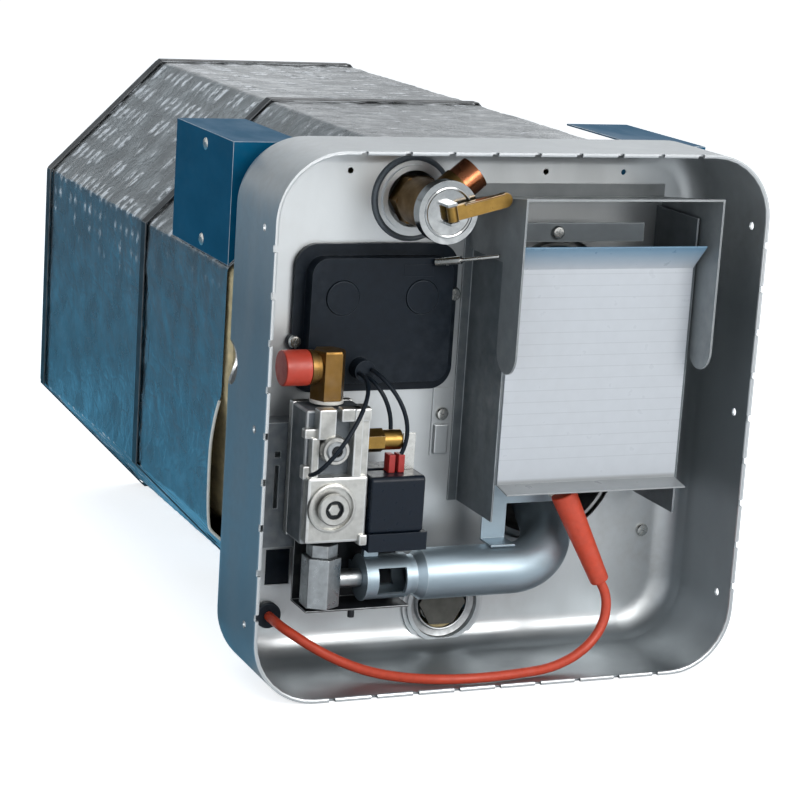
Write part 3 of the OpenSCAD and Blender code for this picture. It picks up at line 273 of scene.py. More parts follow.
def build_lip(wiring, vector, low, high):
    """A soft step from one height to another."""
    return wiring.ramp(wiring.axis(vector, "Z"), low, high)


GROUPS = {  # builder, inputs with their defaults (None for a vector), and output
    "Surface grain": (build_grain, {"Vector": None, "Stretch": None, "Scale": 60.0}, "Value"),
    "Stain": (build_stain, {"Vector": None, "Scale": 9.0, "Amount": 0.3}, "Mask"),
    "Edge rub": (build_rub, {"Vector": None, "Amount": 0.5}, "Mask"),
    "Foil crease": (build_foil, {"Vector": None, "Scale": 70.0}, "Height"),
    "Foil fleck": (build_painted_glint, {"Vector": None, "Amount": 1.0}, "Mask"),
    "Ruled lines": (build_rules, {"Vector": None, "Pitch": 0.007, "Low": 0.0, "High": 1.0}, "Mask"),
    "Upper lip": (build_lip, {"Vector": None, "Low": 0.0, "High": 1.0}, "Mask"),
}


def shared_group(name):
    """The named node group, built at its first use."""
    if name in bpy.data.node_groups:
        return bpy.data.node_groups[name]
    build, sockets, result = GROUPS[name]
    tree = bpy.data.node_groups.new(name, "ShaderNodeTree")
    for key, value in sockets.items():
        kind = "NodeSocketVector" if value is None else "NodeSocketFloat"
        socket = tree.interface.new_socket(key, in_out="INPUT", socket_type=kind)
        if value is not None:
            socket.default_value = value
    tree.interface.new_socket(result, in_out="OUTPUT", socket_type="NodeSocketFloat")
    wiring = Wiring(tree)
    entry = wiring.add("NodeGroupInput")
    way_out = wiring.add("NodeGroupOutput")
    made = build(wiring, *[entry.outputs[key] for key in sockets])
    tree.links.new(made, way_out.inputs[result])
    return tree


# Finishes

RIM_DEPTH = (-0.2428, -0.2408)  # where the pan's rim ends and its walls begin
# painted shade: the tone that the pan's side and floor walls are darkened to
PAINTED_WALL_SHADE = (0.26, 0.29, 0.31)
# painted glints: the near-white colour of the foil's pressed flecks
PAINTED_GLINT_SHADE = (0.86, 0.88, 0.90)
LINE_SHADE = (0.20, 0.22, 0.24)
# painted reflection: the blue along the top of the label plate
PAINTED_REFLECTION_BAND = (0.12, 0.25, 0.37)
FOOT_SHADE = (0.27, 0.28, 0.28)
STAIN_DULLS = 0.25  # roughness that a full stain adds
GRAIN_SPREAD = 0.08  # roughness that the grain adds or takes


def shaded(colour, factor):
    """A colour made darker or lighter."""
    return tuple(min(1.0, part * factor) for part in colour)


def paint_wall_shade(wiring, spot, wear_and_painted_light, deep, shallow, high, low):
    """Painted shade: darkens the pan's side and floor walls behind its rim, in front of its rear wall and
    below its upper part.
    """
    depth = wiring.axis(spot, "Y")
    front = wiring.times(wiring.ramp(depth, deep, shallow), wiring.ramp(depth, *RIM_DEPTH))
    below = wiring.ramp(wiring.axis(spot, "Z"), high, low)
    return wiring.blend(wiring.times(front, below, 0.85), wear_and_painted_light, PAINTED_WALL_SHADE)


def bare_field(wiring, spot, wear_and_painted_light, low, high):
    """Faint ruled lines on a plate, with a painted blue reflection in a band above and a grey foot below.
    """
    lines = wiring.share("Ruled lines", Vector=spot, Low=low, High=high)
    band = wiring.share("Upper lip", Vector=spot, Low=high + 0.002, High=high + 0.016)
    foot = wiring.share("Upper lip", Vector=spot, Low=low - 0.0065, High=low - 0.0085)
    layers = ((lines, 0.20, LINE_SHADE), (band, 0.9, PAINTED_REFLECTION_BAND), (foot, 0.8, FOOT_SHADE))
    for mask, strength, shade in layers:
        wear_and_painted_light = wiring.blend(wiring.times(mask, strength), wear_and_painted_light, shade)
    return wear_and_painted_light


def started(name):
    """A new material and its wiring."""
    material = bpy.data.materials.new(name)
    material.use_nodes = True
    return material, Wiring(material.node_tree)


def finish(
    name, colour, metallic, roughness, grain, stretch=(1, 1, 1), dark=0.78, bump=0.08, depth=0.0003,
    rub=0.0, rub_to=(0.80, 0.82, 0.83), stain=0.25, dust=(0.42, 0.40, 0.37), glaze=0.0, gloss=0.5,
    crease=0.0, rules=None, wall_shade_span=None,
):
    """A procedural material: grain, stains, rubbed edges and a fine bump, with painted wall shade, a
    painted reflection and painted glints where asked.
    """
    if name in bpy.data.materials:
        return bpy.data.materials[name]
    material, wiring = started(name)
    spot = wiring.add("ShaderNodeTexCoord").outputs["Object"]
    fine = wiring.share("Surface grain", Vector=spot, Stretch=stretch, Scale=grain)
    marks = wiring.share("Stain", Vector=spot, Amount=stain)
    rubbed = wiring.share("Edge rub", Vector=spot, Amount=rub)
    plain = wiring.blend(fine, shaded(colour, dark), shaded(colour, 1.0))
    wear_and_painted_light = wiring.blend(rubbed, wiring.blend(marks, plain, dust), rub_to)
    height, metal = fine, metallic
    # painted shade on the pan's side and floor walls
    if wall_shade_span:
        wear_and_painted_light = paint_wall_shade(wiring, spot, wear_and_painted_light, *wall_shade_span)
    # print lines, a painted blue reflection above them and a bare metal foot below
    if rules:
        wear_and_painted_light = bare_field(wiring, spot, wear_and_painted_light, *rules)
    # painted glints: the foil's pressed flecks turn near white and less metallic
    if crease:
        painted_glints = wiring.share("Foil fleck", Vector=spot)
        wear_and_painted_light = wiring.blend(painted_glints, wear_and_painted_light, PAINTED_GLINT_SHADE)
        metal = wiring.ramp(painted_glints, 0.0, 1.0, metallic, 0.2)
        folds = wiring.share("Foil crease", Vector=spot, Scale=crease)
        height = wiring.sums("ADD", folds, wiring.times(fine, 0.3))
    rough = wiring.ramp(fine, 0.0, 1.0, roughness + GRAIN_SPREAD, roughness - GRAIN_SPREAD)
    ridge = wiring.add("ShaderNodeBump", {"Strength": bump, "Distance": depth, "Height": height})
    wiring.fill(material.node_tree.nodes["Principled BSDF"], {
        "Base Color": wear_and_painted_light,
        "Metallic": metal,
        "Roughness": wiring.sums("ADD", rough, wiring.times(marks, STAIN_DULLS)),
        "Coat Weight": glaze,
        "Specular IOR Level": gloss,
        "Normal": ridge.outputs["Normal"],
    })
    return material


FINISHES = {  # colour, metallic, roughness, grain, and what else differs
    "pan_steel": ("pan", 0.85, 0.38, 26.0, dict(
        stretch=(1, 1, 0.35), dark=0.86, bump=0.05, rub=0.6, stain=0.35, dust=(0.33, 0.31, 0.28),
        # painted shade on the pan's side and floor walls, by depth and height
        gloss=0.3, wall_shade_span=(-0.1653, -0.1735, 0.285, 0.225))),
    "bracket_blue": ("bracket", 0.05, 0.4, 50.0, dict(
        stretch=(1, 0.4, 1), dark=0.85, bump=0.05, rub=0.85, stain=0.12, dust=(0.10, 0.17, 0.22),
        gloss=0.05)),
    "bright_steel": ("bright", 1.0, 0.22, 200.0, {}),
    "foil": ("foil", 1.0, 0.23, 45.0, dict(dark=0.62, bump=0.6, depth=0.0009, stain=0.18, crease=85.0)),
    "insulation": ("fibre", 0.0, 0.95, 120.0, dict(
        stretch=(1, 0.3, 1), dark=0.62, bump=0.9, depth=0.0012, stain=0.3)),
    "strap_black": ("strap", 0.2, 0.36, 90.0, dict(rub=0.25)),
    "tank_steel": ("tank", 1.0, 0.38, 40.0, {}),
    "flue_steel": ("tank", 0.9, 0.45, 60.0, dict(bump=0.1, dark=0.6)),
    "anode": ("anode", 0.9, 0.5, 120.0, dict(bump=0.3, stain=0.1)),
    "dark_brass": ("dark_brass", 1.0, 0.42, 150.0, dict(bump=0.12, rub=0.3)),
    "brass": ("brass", 1.0, 0.33, 150.0, dict(dark=0.66, bump=0.1, rub=0.15)),
    "copper": ("copper", 1.0, 0.25, 130.0, {}),
    "bonnet_chrome": ("chrome", 1.0, 0.16, 160.0, dict(stretch=(1, 6, 1), bump=0.05)),
    "spring_steel": ("plated", 1.0, 0.28, 260.0, {}),
    "black_rubber": ("rubber", 0.0, 0.42, 210.0, dict(
        dark=0.8, bump=0.12, stain=0.25, dust=(0.10, 0.12, 0.14), rub=0.10, rub_to=(0.20, 0.23, 0.26),
        gloss=0.18)),
    "button_red": ("button", 0.0, 0.35, 260.0, dict(bump=0.05, stain=0.1)),
    "stat_plastic": ("stat", 0.0, 0.45, 240.0, dict(bump=0.06)),
    "cap_red": ("cap", 0.0, 0.38, 200.0, dict(dark=0.88, bump=0.06, stain=0.1)),
    "washer_white": ("washer", 0.0, 0.6, 260.0, dict(dark=0.9, bump=0.1)),
    "die_cast": ("cast", 0.9, 0.36, 190.0, dict(
        dark=0.72, bump=0.25, rub=0.5, stain=0.4, dust=(0.25, 0.24, 0.22))),
    "plug_steel": ("plated", 1.0, 0.36, 200.0, dict(bump=0.1, dark=0.6)),
    "coil_black": ("coil", 0.0, 0.34, 230.0, dict(stain=0.2, dust=(0.12, 0.14, 0.16), gloss=0.22)),
    "bracket_grey": ("grey", 0.3, 0.42, 120.0, dict(rub=0.45)),
    "plated_steel": ("plated", 1.0, 0.32, 220.0, dict(bump=0.1)),
    "burner_steel": ("burner", 0.9, 0.45, 70.0, dict(stretch=(0.3, 1, 1), dark=0.82, rub=0.4, stain=0.25)),
    "black_steel": ("black", 0.5, 0.45, 110.0, dict(bump=0.12, rub=0.4)),
    "ceramic": ("ceramic", 0.0, 0.18, 200.0, dict(dark=0.93, bump=0.03, glaze=0.5)),
    "lead_orange": ("lead", 0.0, 0.42, 240.0, dict(dark=0.86, bump=0.06, stain=0.12)),
    "wire_black": ("rubber", 0.0, 0.4, 320.0, dict(bump=0.05, stain=0.1, gloss=0.2)),
    "flue_box_grey": ("box", 0.15, 0.45, 85.0, dict(
        dark=0.82, rub=0.6, rub_to=(0.55, 0.58, 0.60), stain=0.3)),
    "hood_grey": ("hood", 0.2, 0.42, 80.0, dict(dark=0.84, rub=0.8, stain=0.25)),
    "label_white": ("label", 0.0, 0.35, 120.0, dict(
        dark=0.96, bump=0.03, stain=0.08, rules=(0.128, 0.2455))),
}


def dress(slot):
    """The finish of one of the record's material slots."""
    colour, metallic, roughness, grain, others = FINISHES[slot]
    colour = getattr(bpy.context.scene.heater_colours, colour)
    return finish(slot.replace("_", " ").capitalize(), colour, metallic, roughness, grain, **others)


# Forms


def clip(value, low=0.0):
    """A value kept between low and 1."""
    return min(1.0, max(low, value))


def circle(count):
    """The points of a unit circle."""
    turns = [math.tau * step / count for step in range(count)]
    return [(math.cos(turn), math.sin(turn)) for turn in turns]


class Form:
    """One mesh under construction, in metres in the shared frame."""

    def __init__(self):
        self.mesh = bmesh.new()
        self.edge = self.mesh.faces.layers.float.new("edge")

    def ease(self, edges, width, segments=2):
        """Rounds edges and marks the new faces for rubbing."""
        if width <= 0 or not edges:
            return
        made = bmesh.ops.bevel(
            self.mesh, geom=edges, offset=width, offset_type="OFFSET", segments=segments,
            profile=0.5, affect="EDGES", clamp_overlap=True,
        )
        for face in made["faces"]:
            face[self.edge] = 1.0

    def block(self, low, high, ease, turn=None, segments=2):
        """A box with eased edges, between two corners, turned by a matrix if one is given."""
        low, high = Vector(low), Vector(high)
        spread = high - low
        seat = Matrix.Translation((low + high) / 2) @ Matrix.Diagonal((*spread, 1.0))
        made = bmesh.ops.create_cube(self.mesh, size=1.0, matrix=(turn or Matrix()) @ seat)
        edges = list(dict.fromkeys(edge for vert in made["verts"] for edge in vert.link_edges))
        self.ease(edges, min(ease, min(spread) * 0.45), segments)
        return self

    def turned(self, profile, origin, axis, sides=None, closed=False):
        """A turned form: (radius, height) pairs along an axis. closed joins the last pair to the first."""
        sides = sides or bpy.context.scene.heater_sizes.facets
        turn = Vector((0, 0, 1)).rotation_difference(Vector(axis)).to_matrix()
        origin = Vector(origin)
        rings = []
        for radius, height in profile:
            spokes = circle(sides)[:1 if radius < 1e-6 else sides]
            points = [Vector((radius * across, radius * over, height)) for across, over in spokes]
            rings.append([self.mesh.verts.new(origin + turn @ point) for point in points])
        if closed:
            rings.append(rings[0])
        for first, second in zip(rings, rings[1:]):
            for step in range(sides):
                after = (step + 1) % sides
                corners = [
                    first[step % len(first)], first[after % len(first)],
                    second[after % len(second)], second[step % len(second)],
                ]
                corners = list(dict.fromkeys(corners))
                if len(corners) > 2:
                    self.mesh.faces.new(corners)
        return self

    def loops(self, rows, closed=False):
        """Rows of points, each a closed loop, joined by faces. closed joins the last row to the first."""
        rings = [[self.mesh.verts.new(point) for point in row] for row in rows]
        pairs = list(zip(rings, rings[1:]))
        if closed:
            pairs.append((rings[-1], rings[0]))
        for first, second in pairs:
            for step in range(len(first)):
                after = (step + 1) % len(first)
                self.mesh.faces.new((first[step], first[after], second[after], second[step]))
        return rings

    def tube(self, points, radius, sides):
        """A capped tube along points."""
        points = [Vector(point) for point in points]
        rows = []
        side = None
        for step, point in enumerate(points):
            ahead = points[min(step + 1, len(points) - 1)] - points[max(step - 1, 0)]
            ahead.normalize()
            if side is None:
                side = ahead.orthogonal().normalized()
            side = (side - ahead * side.dot(ahead)).normalized()
            over = ahead.cross(side)
            rows.append([point + radius * (out * side + up * over) for out, up in circle(sides)])
        rings = self.loops(rows)
        self.mesh.faces.new(list(reversed(rings[0])))
        self.mesh.faces.new(rings[-1])
        return self

    def take(self, node, ease):
        """A copy of a CAD node's mesh with its edges eased."""
        self.mesh.from_mesh(NODES[node].data)
        layers = self.mesh.faces.layers.float
        self.edge = layers.get("edge") or layers.new("edge")
        bmesh.ops.remove_doubles(self.mesh, verts=self.mesh.verts, dist=1e-6)
        bmesh.ops.dissolve_limit(
            self.mesh, angle_limit=math.radians(0.6), verts=self.mesh.verts, edges=self.mesh.edges,
        )
        return self.soften(ease)

    def soften(self, ease, sharp=28.0):
        """Eases every edge sharper than an angle."""
        limit = math.radians(sharp)
        edges = [edge for edge in self.mesh.edges if edge.is_manifold and edge.calc_face_angle(0.0) > limit]
        self.ease(edges, ease)
        return self


def link(name, data):
    """A new object in the scene."""
    piece = bpy.data.objects.new(name, data)
    bpy.context.scene.collection.objects.link(piece)
    return piece


def smooth(mesh, slot, sharp):
    """Gives a mesh its finish and smooth faces, with edges kept above an angle."""
    mesh.materials.append(dress(slot))
    mesh.shade_smooth()
    mesh.set_sharp_from_angle(angle=math.radians(sharp))


def place(name, form, slot, body="housing", replaces=()):
    """Makes a finished form into a piece that rides on a body."""
    bmesh.ops.recalc_face_normals(form.mesh, faces=form.mesh.faces)
    mesh = bpy.data.meshes.new(name)
    form.mesh.to_mesh(mesh)
    form.mesh.free()
    smooth(mesh, slot, 38)
    piece = link(name, mesh)
    piece.modifiers.new("Even normals", "WEIGHTED_NORMAL").keep_sharp = True
    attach(piece, body)
    if replaces:
        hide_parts(*replaces)
    return piece


def eased(node, ease=None):
    """A CAD node dressed as it is, with its edges eased."""
    ease = bpy.context.scene.heater_sizes.ease if ease is None else ease
    return place(node + "_dressed", Form().take(node, ease), SLOTS[node], NODES[node]["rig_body"], [node])


def ease_nodes(**eases):
    """Dresses CAD nodes as they are, each with its own easing, or with the common one for None."""
    for node, ease in eases.items():
        eased(node, ease)


def keep_nodes(*nodes):
    """Gives CAD nodes their finish as they stand."""
    for node in nodes:
        NODES[node].data.materials.clear()
        smooth(NODES[node].data, SLOTS[node], 35)


def spring(name, node, part=None):
    """A CAD node's coil spring, or one part of it, as a piece with a mesh of its own."""
    form = Form().take(node, 0.0)
    if part:
        others = [vert for vert in form.mesh.verts if not part(vert.co)]
        bmesh.ops.delete(form.mesh, geom=others, context="VERTS")
    piece = place(name, form, SLOTS[node], replaces=[node])
    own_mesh(piece)


def middle(node):
    """The middle of a CAD node's box."""
    low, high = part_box(node)
    return (Vector(low) + Vector(high)) / 2


# Stage

VIEW_ANGLES = (23.62, 12.893, 3.714)  # yaw, pitch and roll in degrees
VIEW_PLACE = (-0.6285, -1.5076, 0.4946)
VIEW_LENS = 112.374  # mm
SENSOR = 36.0  # mm
FLOOR = -0.0004  # just under the heater
LAMP_AIM = (0.0, -0.1, 0.16)
LAMPS = {  # place, width in metres, watts and colour
    "Key": ((0.50, -1.85, 0.95), 1.1, 22.5, (1.0, 0.985, 0.965)),
    "Top": ((0.0, 0.25, 1.7), 2.2, 10.0, (0.96, 0.98, 1.0)),
    "Fill": ((-1.5, -1.1, 0.7), 1.2, 3.5, (0.80, 0.90, 1.0)),
}
CARD_TURN = (-0.28, -0.72)  # x over which a card goes from its near colour to its far one
CARD_FORE = (0.95, 0.45, 0.94, 1.22)  # y over which it brightens, and from what to what


def emitter(name, near, far, patchy):
    """A material that only glows, in patches, in one colour near the heater and another to its left."""
    material, wiring = started(name)
    nodes = material.node_tree.nodes
    nodes.remove(nodes["Principled BSDF"])
    spot = wiring.add("ShaderNodeTexCoord").outputs["Object"]
    shade = wiring.blend(wiring.ramp(wiring.axis(spot, "X"), *CARD_TURN), near, far)
    fore = wiring.ramp(wiring.axis(spot, "Y"), *CARD_FORE)
    power = wiring.ramp(wiring.spots(spot, 7.0, 3.0), 0.40, 0.60, 1.0 - patchy, 1.0 + patchy)
    glow = wiring.add("ShaderNodeEmission", {"Color": shade, "Strength": wiring.times(power, fore)})
    wiring.fill(nodes["Material Output"], {"Surface": glow.outputs[0]})
    return material


def level(left, right, near, far, z):
    """Corners of a level sheet."""
    return [(left, near, z), (right, near, z), (right, far, z), (left, far, z)]


def upright(start, end, low, high):
    """Corners of an upright sheet over a line on the floor."""
    return [(*start, low), (*end, low), (*end, high), (*start, high)]


def sheet(name, corners, material):
    """A flat stage piece through its corners."""
    mesh = bpy.data.meshes.new(name)
    mesh.from_pydata(corners, [], [list(range(len(corners)))])
    mesh.materials.append(material)
    piece = link(name, mesh)
    return piece


def lamp(name, spot, width, power, colour):
    """A soft square lamp that looks at the heater."""
    light = bpy.data.lights.new(name, "AREA")
    light.size = width
    light.energy = power
    light.color = colour
    piece = link(name, light)
    piece.location = spot
    piece.rotation_euler = (Vector(LAMP_AIM) - Vector(spot)).to_track_quat("-Z", "Y").to_euler()


# Operators


class HEATER_OT_studio(bpy.types.Operator):
    """Set up the camera, the white floor and backdrop, the cards and the lamps"""

    bl_idname = "heater.studio"
    bl_label = "Studio"

    def camera(self):
        """The photograph's view."""
        yaw, pitch, roll = (math.radians(angle) for angle in VIEW_ANGLES)
        right = Vector((math.cos(yaw), -math.sin(yaw), 0.0))
        ahead = Vector((math.sin(yaw) * math.cos(pitch), math.cos(yaw) * math.cos(pitch), -math.sin(pitch)))
        up = right.cross(ahead)
        across = math.cos(roll) * right + math.sin(roll) * up
        upward = math.cos(roll) * up - math.sin(roll) * right
        data = bpy.data.cameras.new("Photo view")
        data.sensor_width = SENSOR
        data.lens = VIEW_LENS
        piece = link("Photo view", data)
        turn = Matrix((across, upward, -ahead)).transposed().to_4x4()
        piece.matrix_world = Matrix.Translation(VIEW_PLACE) @ turn
        bpy.context.scene.camera = piece

    def backdrop(self):
        """A world that is white to the eye and softer as a light."""
        world = bpy.data.worlds.new("White backdrop")
        bpy.context.scene.world = world
        world.use_nodes = True
        wiring = Wiring(world.node_tree)
        path = wiring.add("ShaderNodeLightPath").outputs
        seen = wiring.sums("MAXIMUM", path["Is Camera Ray"], path["Is Transmission Ray"])
        seen = wiring.sums("MAXIMUM", seen, path["Is Glossy Ray"])
        white = wiring.add("ShaderNodeBackground", {"Color": (1, 1, 1, 1), "Strength": 1.0})
        soft = wiring.add("ShaderNodeBackground", {"Color": (0.80, 0.90, 1.0, 1), "Strength": 0.42})
        mixed = wiring.add("ShaderNodeMixShader", {0: seen, 1: soft.outputs[0], 2: white.outputs[0]})
        wiring.fill(world.node_tree.nodes["World Output"], {"Surface": mixed.outputs[0]})

    def floor(self):
        """A white floor that keeps a soft shadow."""
        material, wiring = started("White floor")
        path = wiring.add("ShaderNodeLightPath").outputs
        spots = wiring.add("ShaderNodeTexNoise", {"Scale": 3.0}).outputs[0]
        wiring.fill(material.node_tree.nodes["Principled BSDF"], {
            "Base Color": wiring.blend(spots, (0.92, 0.92, 0.92), (0.95, 0.95, 0.95)),
            "Roughness": 0.9, "Specular IOR Level": 0.0, "Emission Color": (1, 1, 1, 1),
            "Emission Strength": wiring.times(path["Is Camera Ray"], 0.72),
        })
        sheet("floor", level(-6, 6, -6, 6, FLOOR), material)

    def cards(self):
        """Cards that only reflections see: blue at the left, grey and pale behind."""
        blue = emitter("Blue card", (0.068, 0.225, 0.350), (0.135, 0.215, 0.285), 0.4)
        grey = emitter("Grey card", (0.41, 0.44, 0.46), (0.36, 0.39, 0.41), 0.95)
        pale = emitter("Pale card", (0.70, 0.72, 0.74), (0.70, 0.72, 0.74), 0.5)
        pieces = (
            sheet("card_low", level(-2.6, 0.03, -0.20, 3, 0.001), blue),
            sheet("card_tall", upright((-1.6, 0.2), (-0.4, 2.4), 0.0, 0.5), blue),
            sheet("card_back", upright((-2.4, 2.4), (0.1, 2.4), 0.55, 2.6), grey),
            sheet("card_right", upright((0.1, 2.4), (2.8, 2.4), 0.3, 2.6), pale),
        )
        for piece in pieces:
            for ray in ("camera", "diffuse", "shadow", "transmission"):
                setattr(piece, "visible_" + ray, False)

    def execute(self, context):
        self.camera()
        self.backdrop()
        self.floor()
        self.cards()
        for name, values in LAMPS.items():
            lamp(name, *values)
        context.scene.view_settings.view_transform = "Standard"
        return {"FINISHED"}


class HEATER_OT_ignition_lead(bpy.types.Operator):
    """Lay the ignition lead from the grommet to the boot, with both rubber pieces"""

    bl_idname = "heater.ignition_lead"
    bl_label = "Ignition lead"

    def execute(self, context):
        sizes = context.scene.heater_sizes
        route = (  # mm, from the grommet to the boot
            (77, -216.5, 54), (81, -217, 46), (82, -218, 36), (79, -219.5, 26), (72, -221.5, 17.5),
            (62, -224, 11), (50, -227, 7), (37, -230, 5), (23, -232.5, 4.7), (9, -234.5, 4.7),
            (-5, -235.5, 4.7), (-19, -235, 4.7), (-32, -233, 4.7), (-45, -229, 4.7), (-57, -223.2, 4.9),
            (-69, -216.4, 6), (-81, -209.5, 8.8), (-93, -203, 13.5), (-103, -197.5, 18.7),
            (-111, -192, 23.6), (-116.5, -186.5, 27), (-119.3, -180.5, 29), (-120, -174.5, 29.5),
            (-120, -169.7, 29.5),
        )
        data = bpy.data.curves.new("ignition_lead_cord", "CURVE")
        data.dimensions = "3D"
        data.bevel_depth = sizes.lead / 2
        data.bevel_resolution = 4
        data.use_fill_caps = True
        data.resolution_u = 6
        line = data.splines.new("BEZIER")
        line.bezier_points.add(len(route) - 1)
        for knot, point in zip(line.bezier_points, reversed(route)):
            knot.co = Vector(point) / 1000
            knot.handle_left_type = "AUTO"
            knot.handle_right_type = "AUTO"
        data.materials.append(dress("lead_orange"))
        cord = link("ignition_lead_cord", data)
        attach(cord, "housing")
        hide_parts("ignition_lead")
        boot = eased("ignition_boot", 0.0012)
        grommet = eased("lead_grommet", 0.0008)
        return {"FINISHED"}


class HEATER_OT_housing(bpy.types.Operator):
    """Finish the control pan, its rolled rim, its screws and the drain's collar"""

    bl_idname = "heater.housing"
    bl_label = "Control pan"

    tabs = 4  # each side of a wall's middle
    notch = 0.002  # half the width of a notch
    gap = 0.0002  # between the bead and the sheet

    def rim(self, sizes):
        """A rolled bead inside the pan's open rim, broken at the notches."""
        low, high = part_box("control_housing")
        inset, radius, corner = sizes.bead + self.gap, sizes.bead, sizes.corner
        half, top, bottom = high[0] - inset, high[2] - inset, low[2] + inset
        front, middle_z, bend = low[1] + radius + self.gap, (low[2] + high[2]) / 2, corner - inset
        form = Form()
        for across, rise in ((0.0, bottom), (0.0, top), (-half, middle_z), (half, middle_z)):
            for step in range(-self.tabs, self.tabs):
                ends = (step * sizes.tab + self.notch, (step + 1) * sizes.tab - self.notch)
                if across:
                    points = [(across, front, rise + end) for end in ends]
                else:
                    points = [(end, front, rise) for end in ends]
                form.tube(points, radius, 8)
        run = self.tabs * sizes.tab + self.notch
        quarter = [math.radians(90 * step / 8) for step in range(9)]
        for side in (-1, 1):
            for up in (-1, 1):
                spot = Vector((side * (high[0] - corner), front, middle_z + up * (high[2] / 2 - corner)))
                arc = [Vector((side * math.cos(turn), 0, up * math.sin(turn))) for turn in quarter]
                points = [Vector((side * half, front, middle_z + up * run))]
                points += [spot + out * bend for out in arc]
                points.append(Vector((side * run, front, top if up > 0 else bottom)))
                form.tube(points, radius, 8)
        place("pan_rim_bead", form, "pan_steel")

    def screws(self):
        """Five pan heads with a cross recess."""
        dome = (
            (0.0, 0.0), (0.0036, 0.0), (0.0041, 0.0004), (0.0040, 0.0013), (0.0033, 0.0021), (0.0, 0.0024),
        )
        seats = (  # x, distance from the rear wall, z
            (-0.1128, 0.0040, 0.1975), (-0.0124, 0.0040, 0.2245), (-0.01375, 0.0012, 0.1502),
            (0.132, 0.0, 0.069), (0.036, 0.0392, 0.26775),
        )
        form = Form()
        for x, reach, z in seats:
            y = WALL - reach
            form.turned(dome, (x, y, z), FRONT, 28)
            for turn in (20, 110):
                spin = Matrix.Translation((x, y - 0.0023, z)) @ Matrix.Rotation(math.radians(turn), 4, "Y")
                form.block((-0.0022, -0.00025, -0.0004), (0.0022, 0.0006, 0.0004), 0.0001, spin, 1)
        place("housing_screw_heads", form, SLOTS["housing_screws"], replaces=["housing_screws"])

    def drain(self):
        """A dished collar with a bright lip round the drain plug."""
        spot = middle("anode_rod")
        seat = (spot.x, WALL, spot.z)
        dish = (
            (0.0217, 0.0003), (0.0190, -0.0005), (0.0164, -0.0008), (0.0164, -0.0013), (0.0217, -0.0011),
        )
        place("drain_dish", Form().turned(dish, seat, FRONT, closed=True), "plug_steel")
        lip = (
            (0.0176, -0.0007), (0.0177, 0.0006), (0.0171, 0.0012), (0.0164, 0.0010), (0.0161, 0.0),
            (0.0163, -0.0007),
        )
        place("drain_lip", Form().turned(lip, seat, FRONT, closed=True), "plated_steel")

    def execute(self, context):
        eased("control_housing", 0.0004)
        self.rim(context.scene.heater_sizes)
        self.screws()
        self.drain()
        # a thin black pad behind the wire hole, which makes the hole read black
        black_pad = Form().block((-0.128, -0.1634, 0.043), (-0.101, -0.1628, 0.074), 0.0002)
        place("wire_hole_seal", black_pad, "black_rubber")
        return {"FINISHED"}


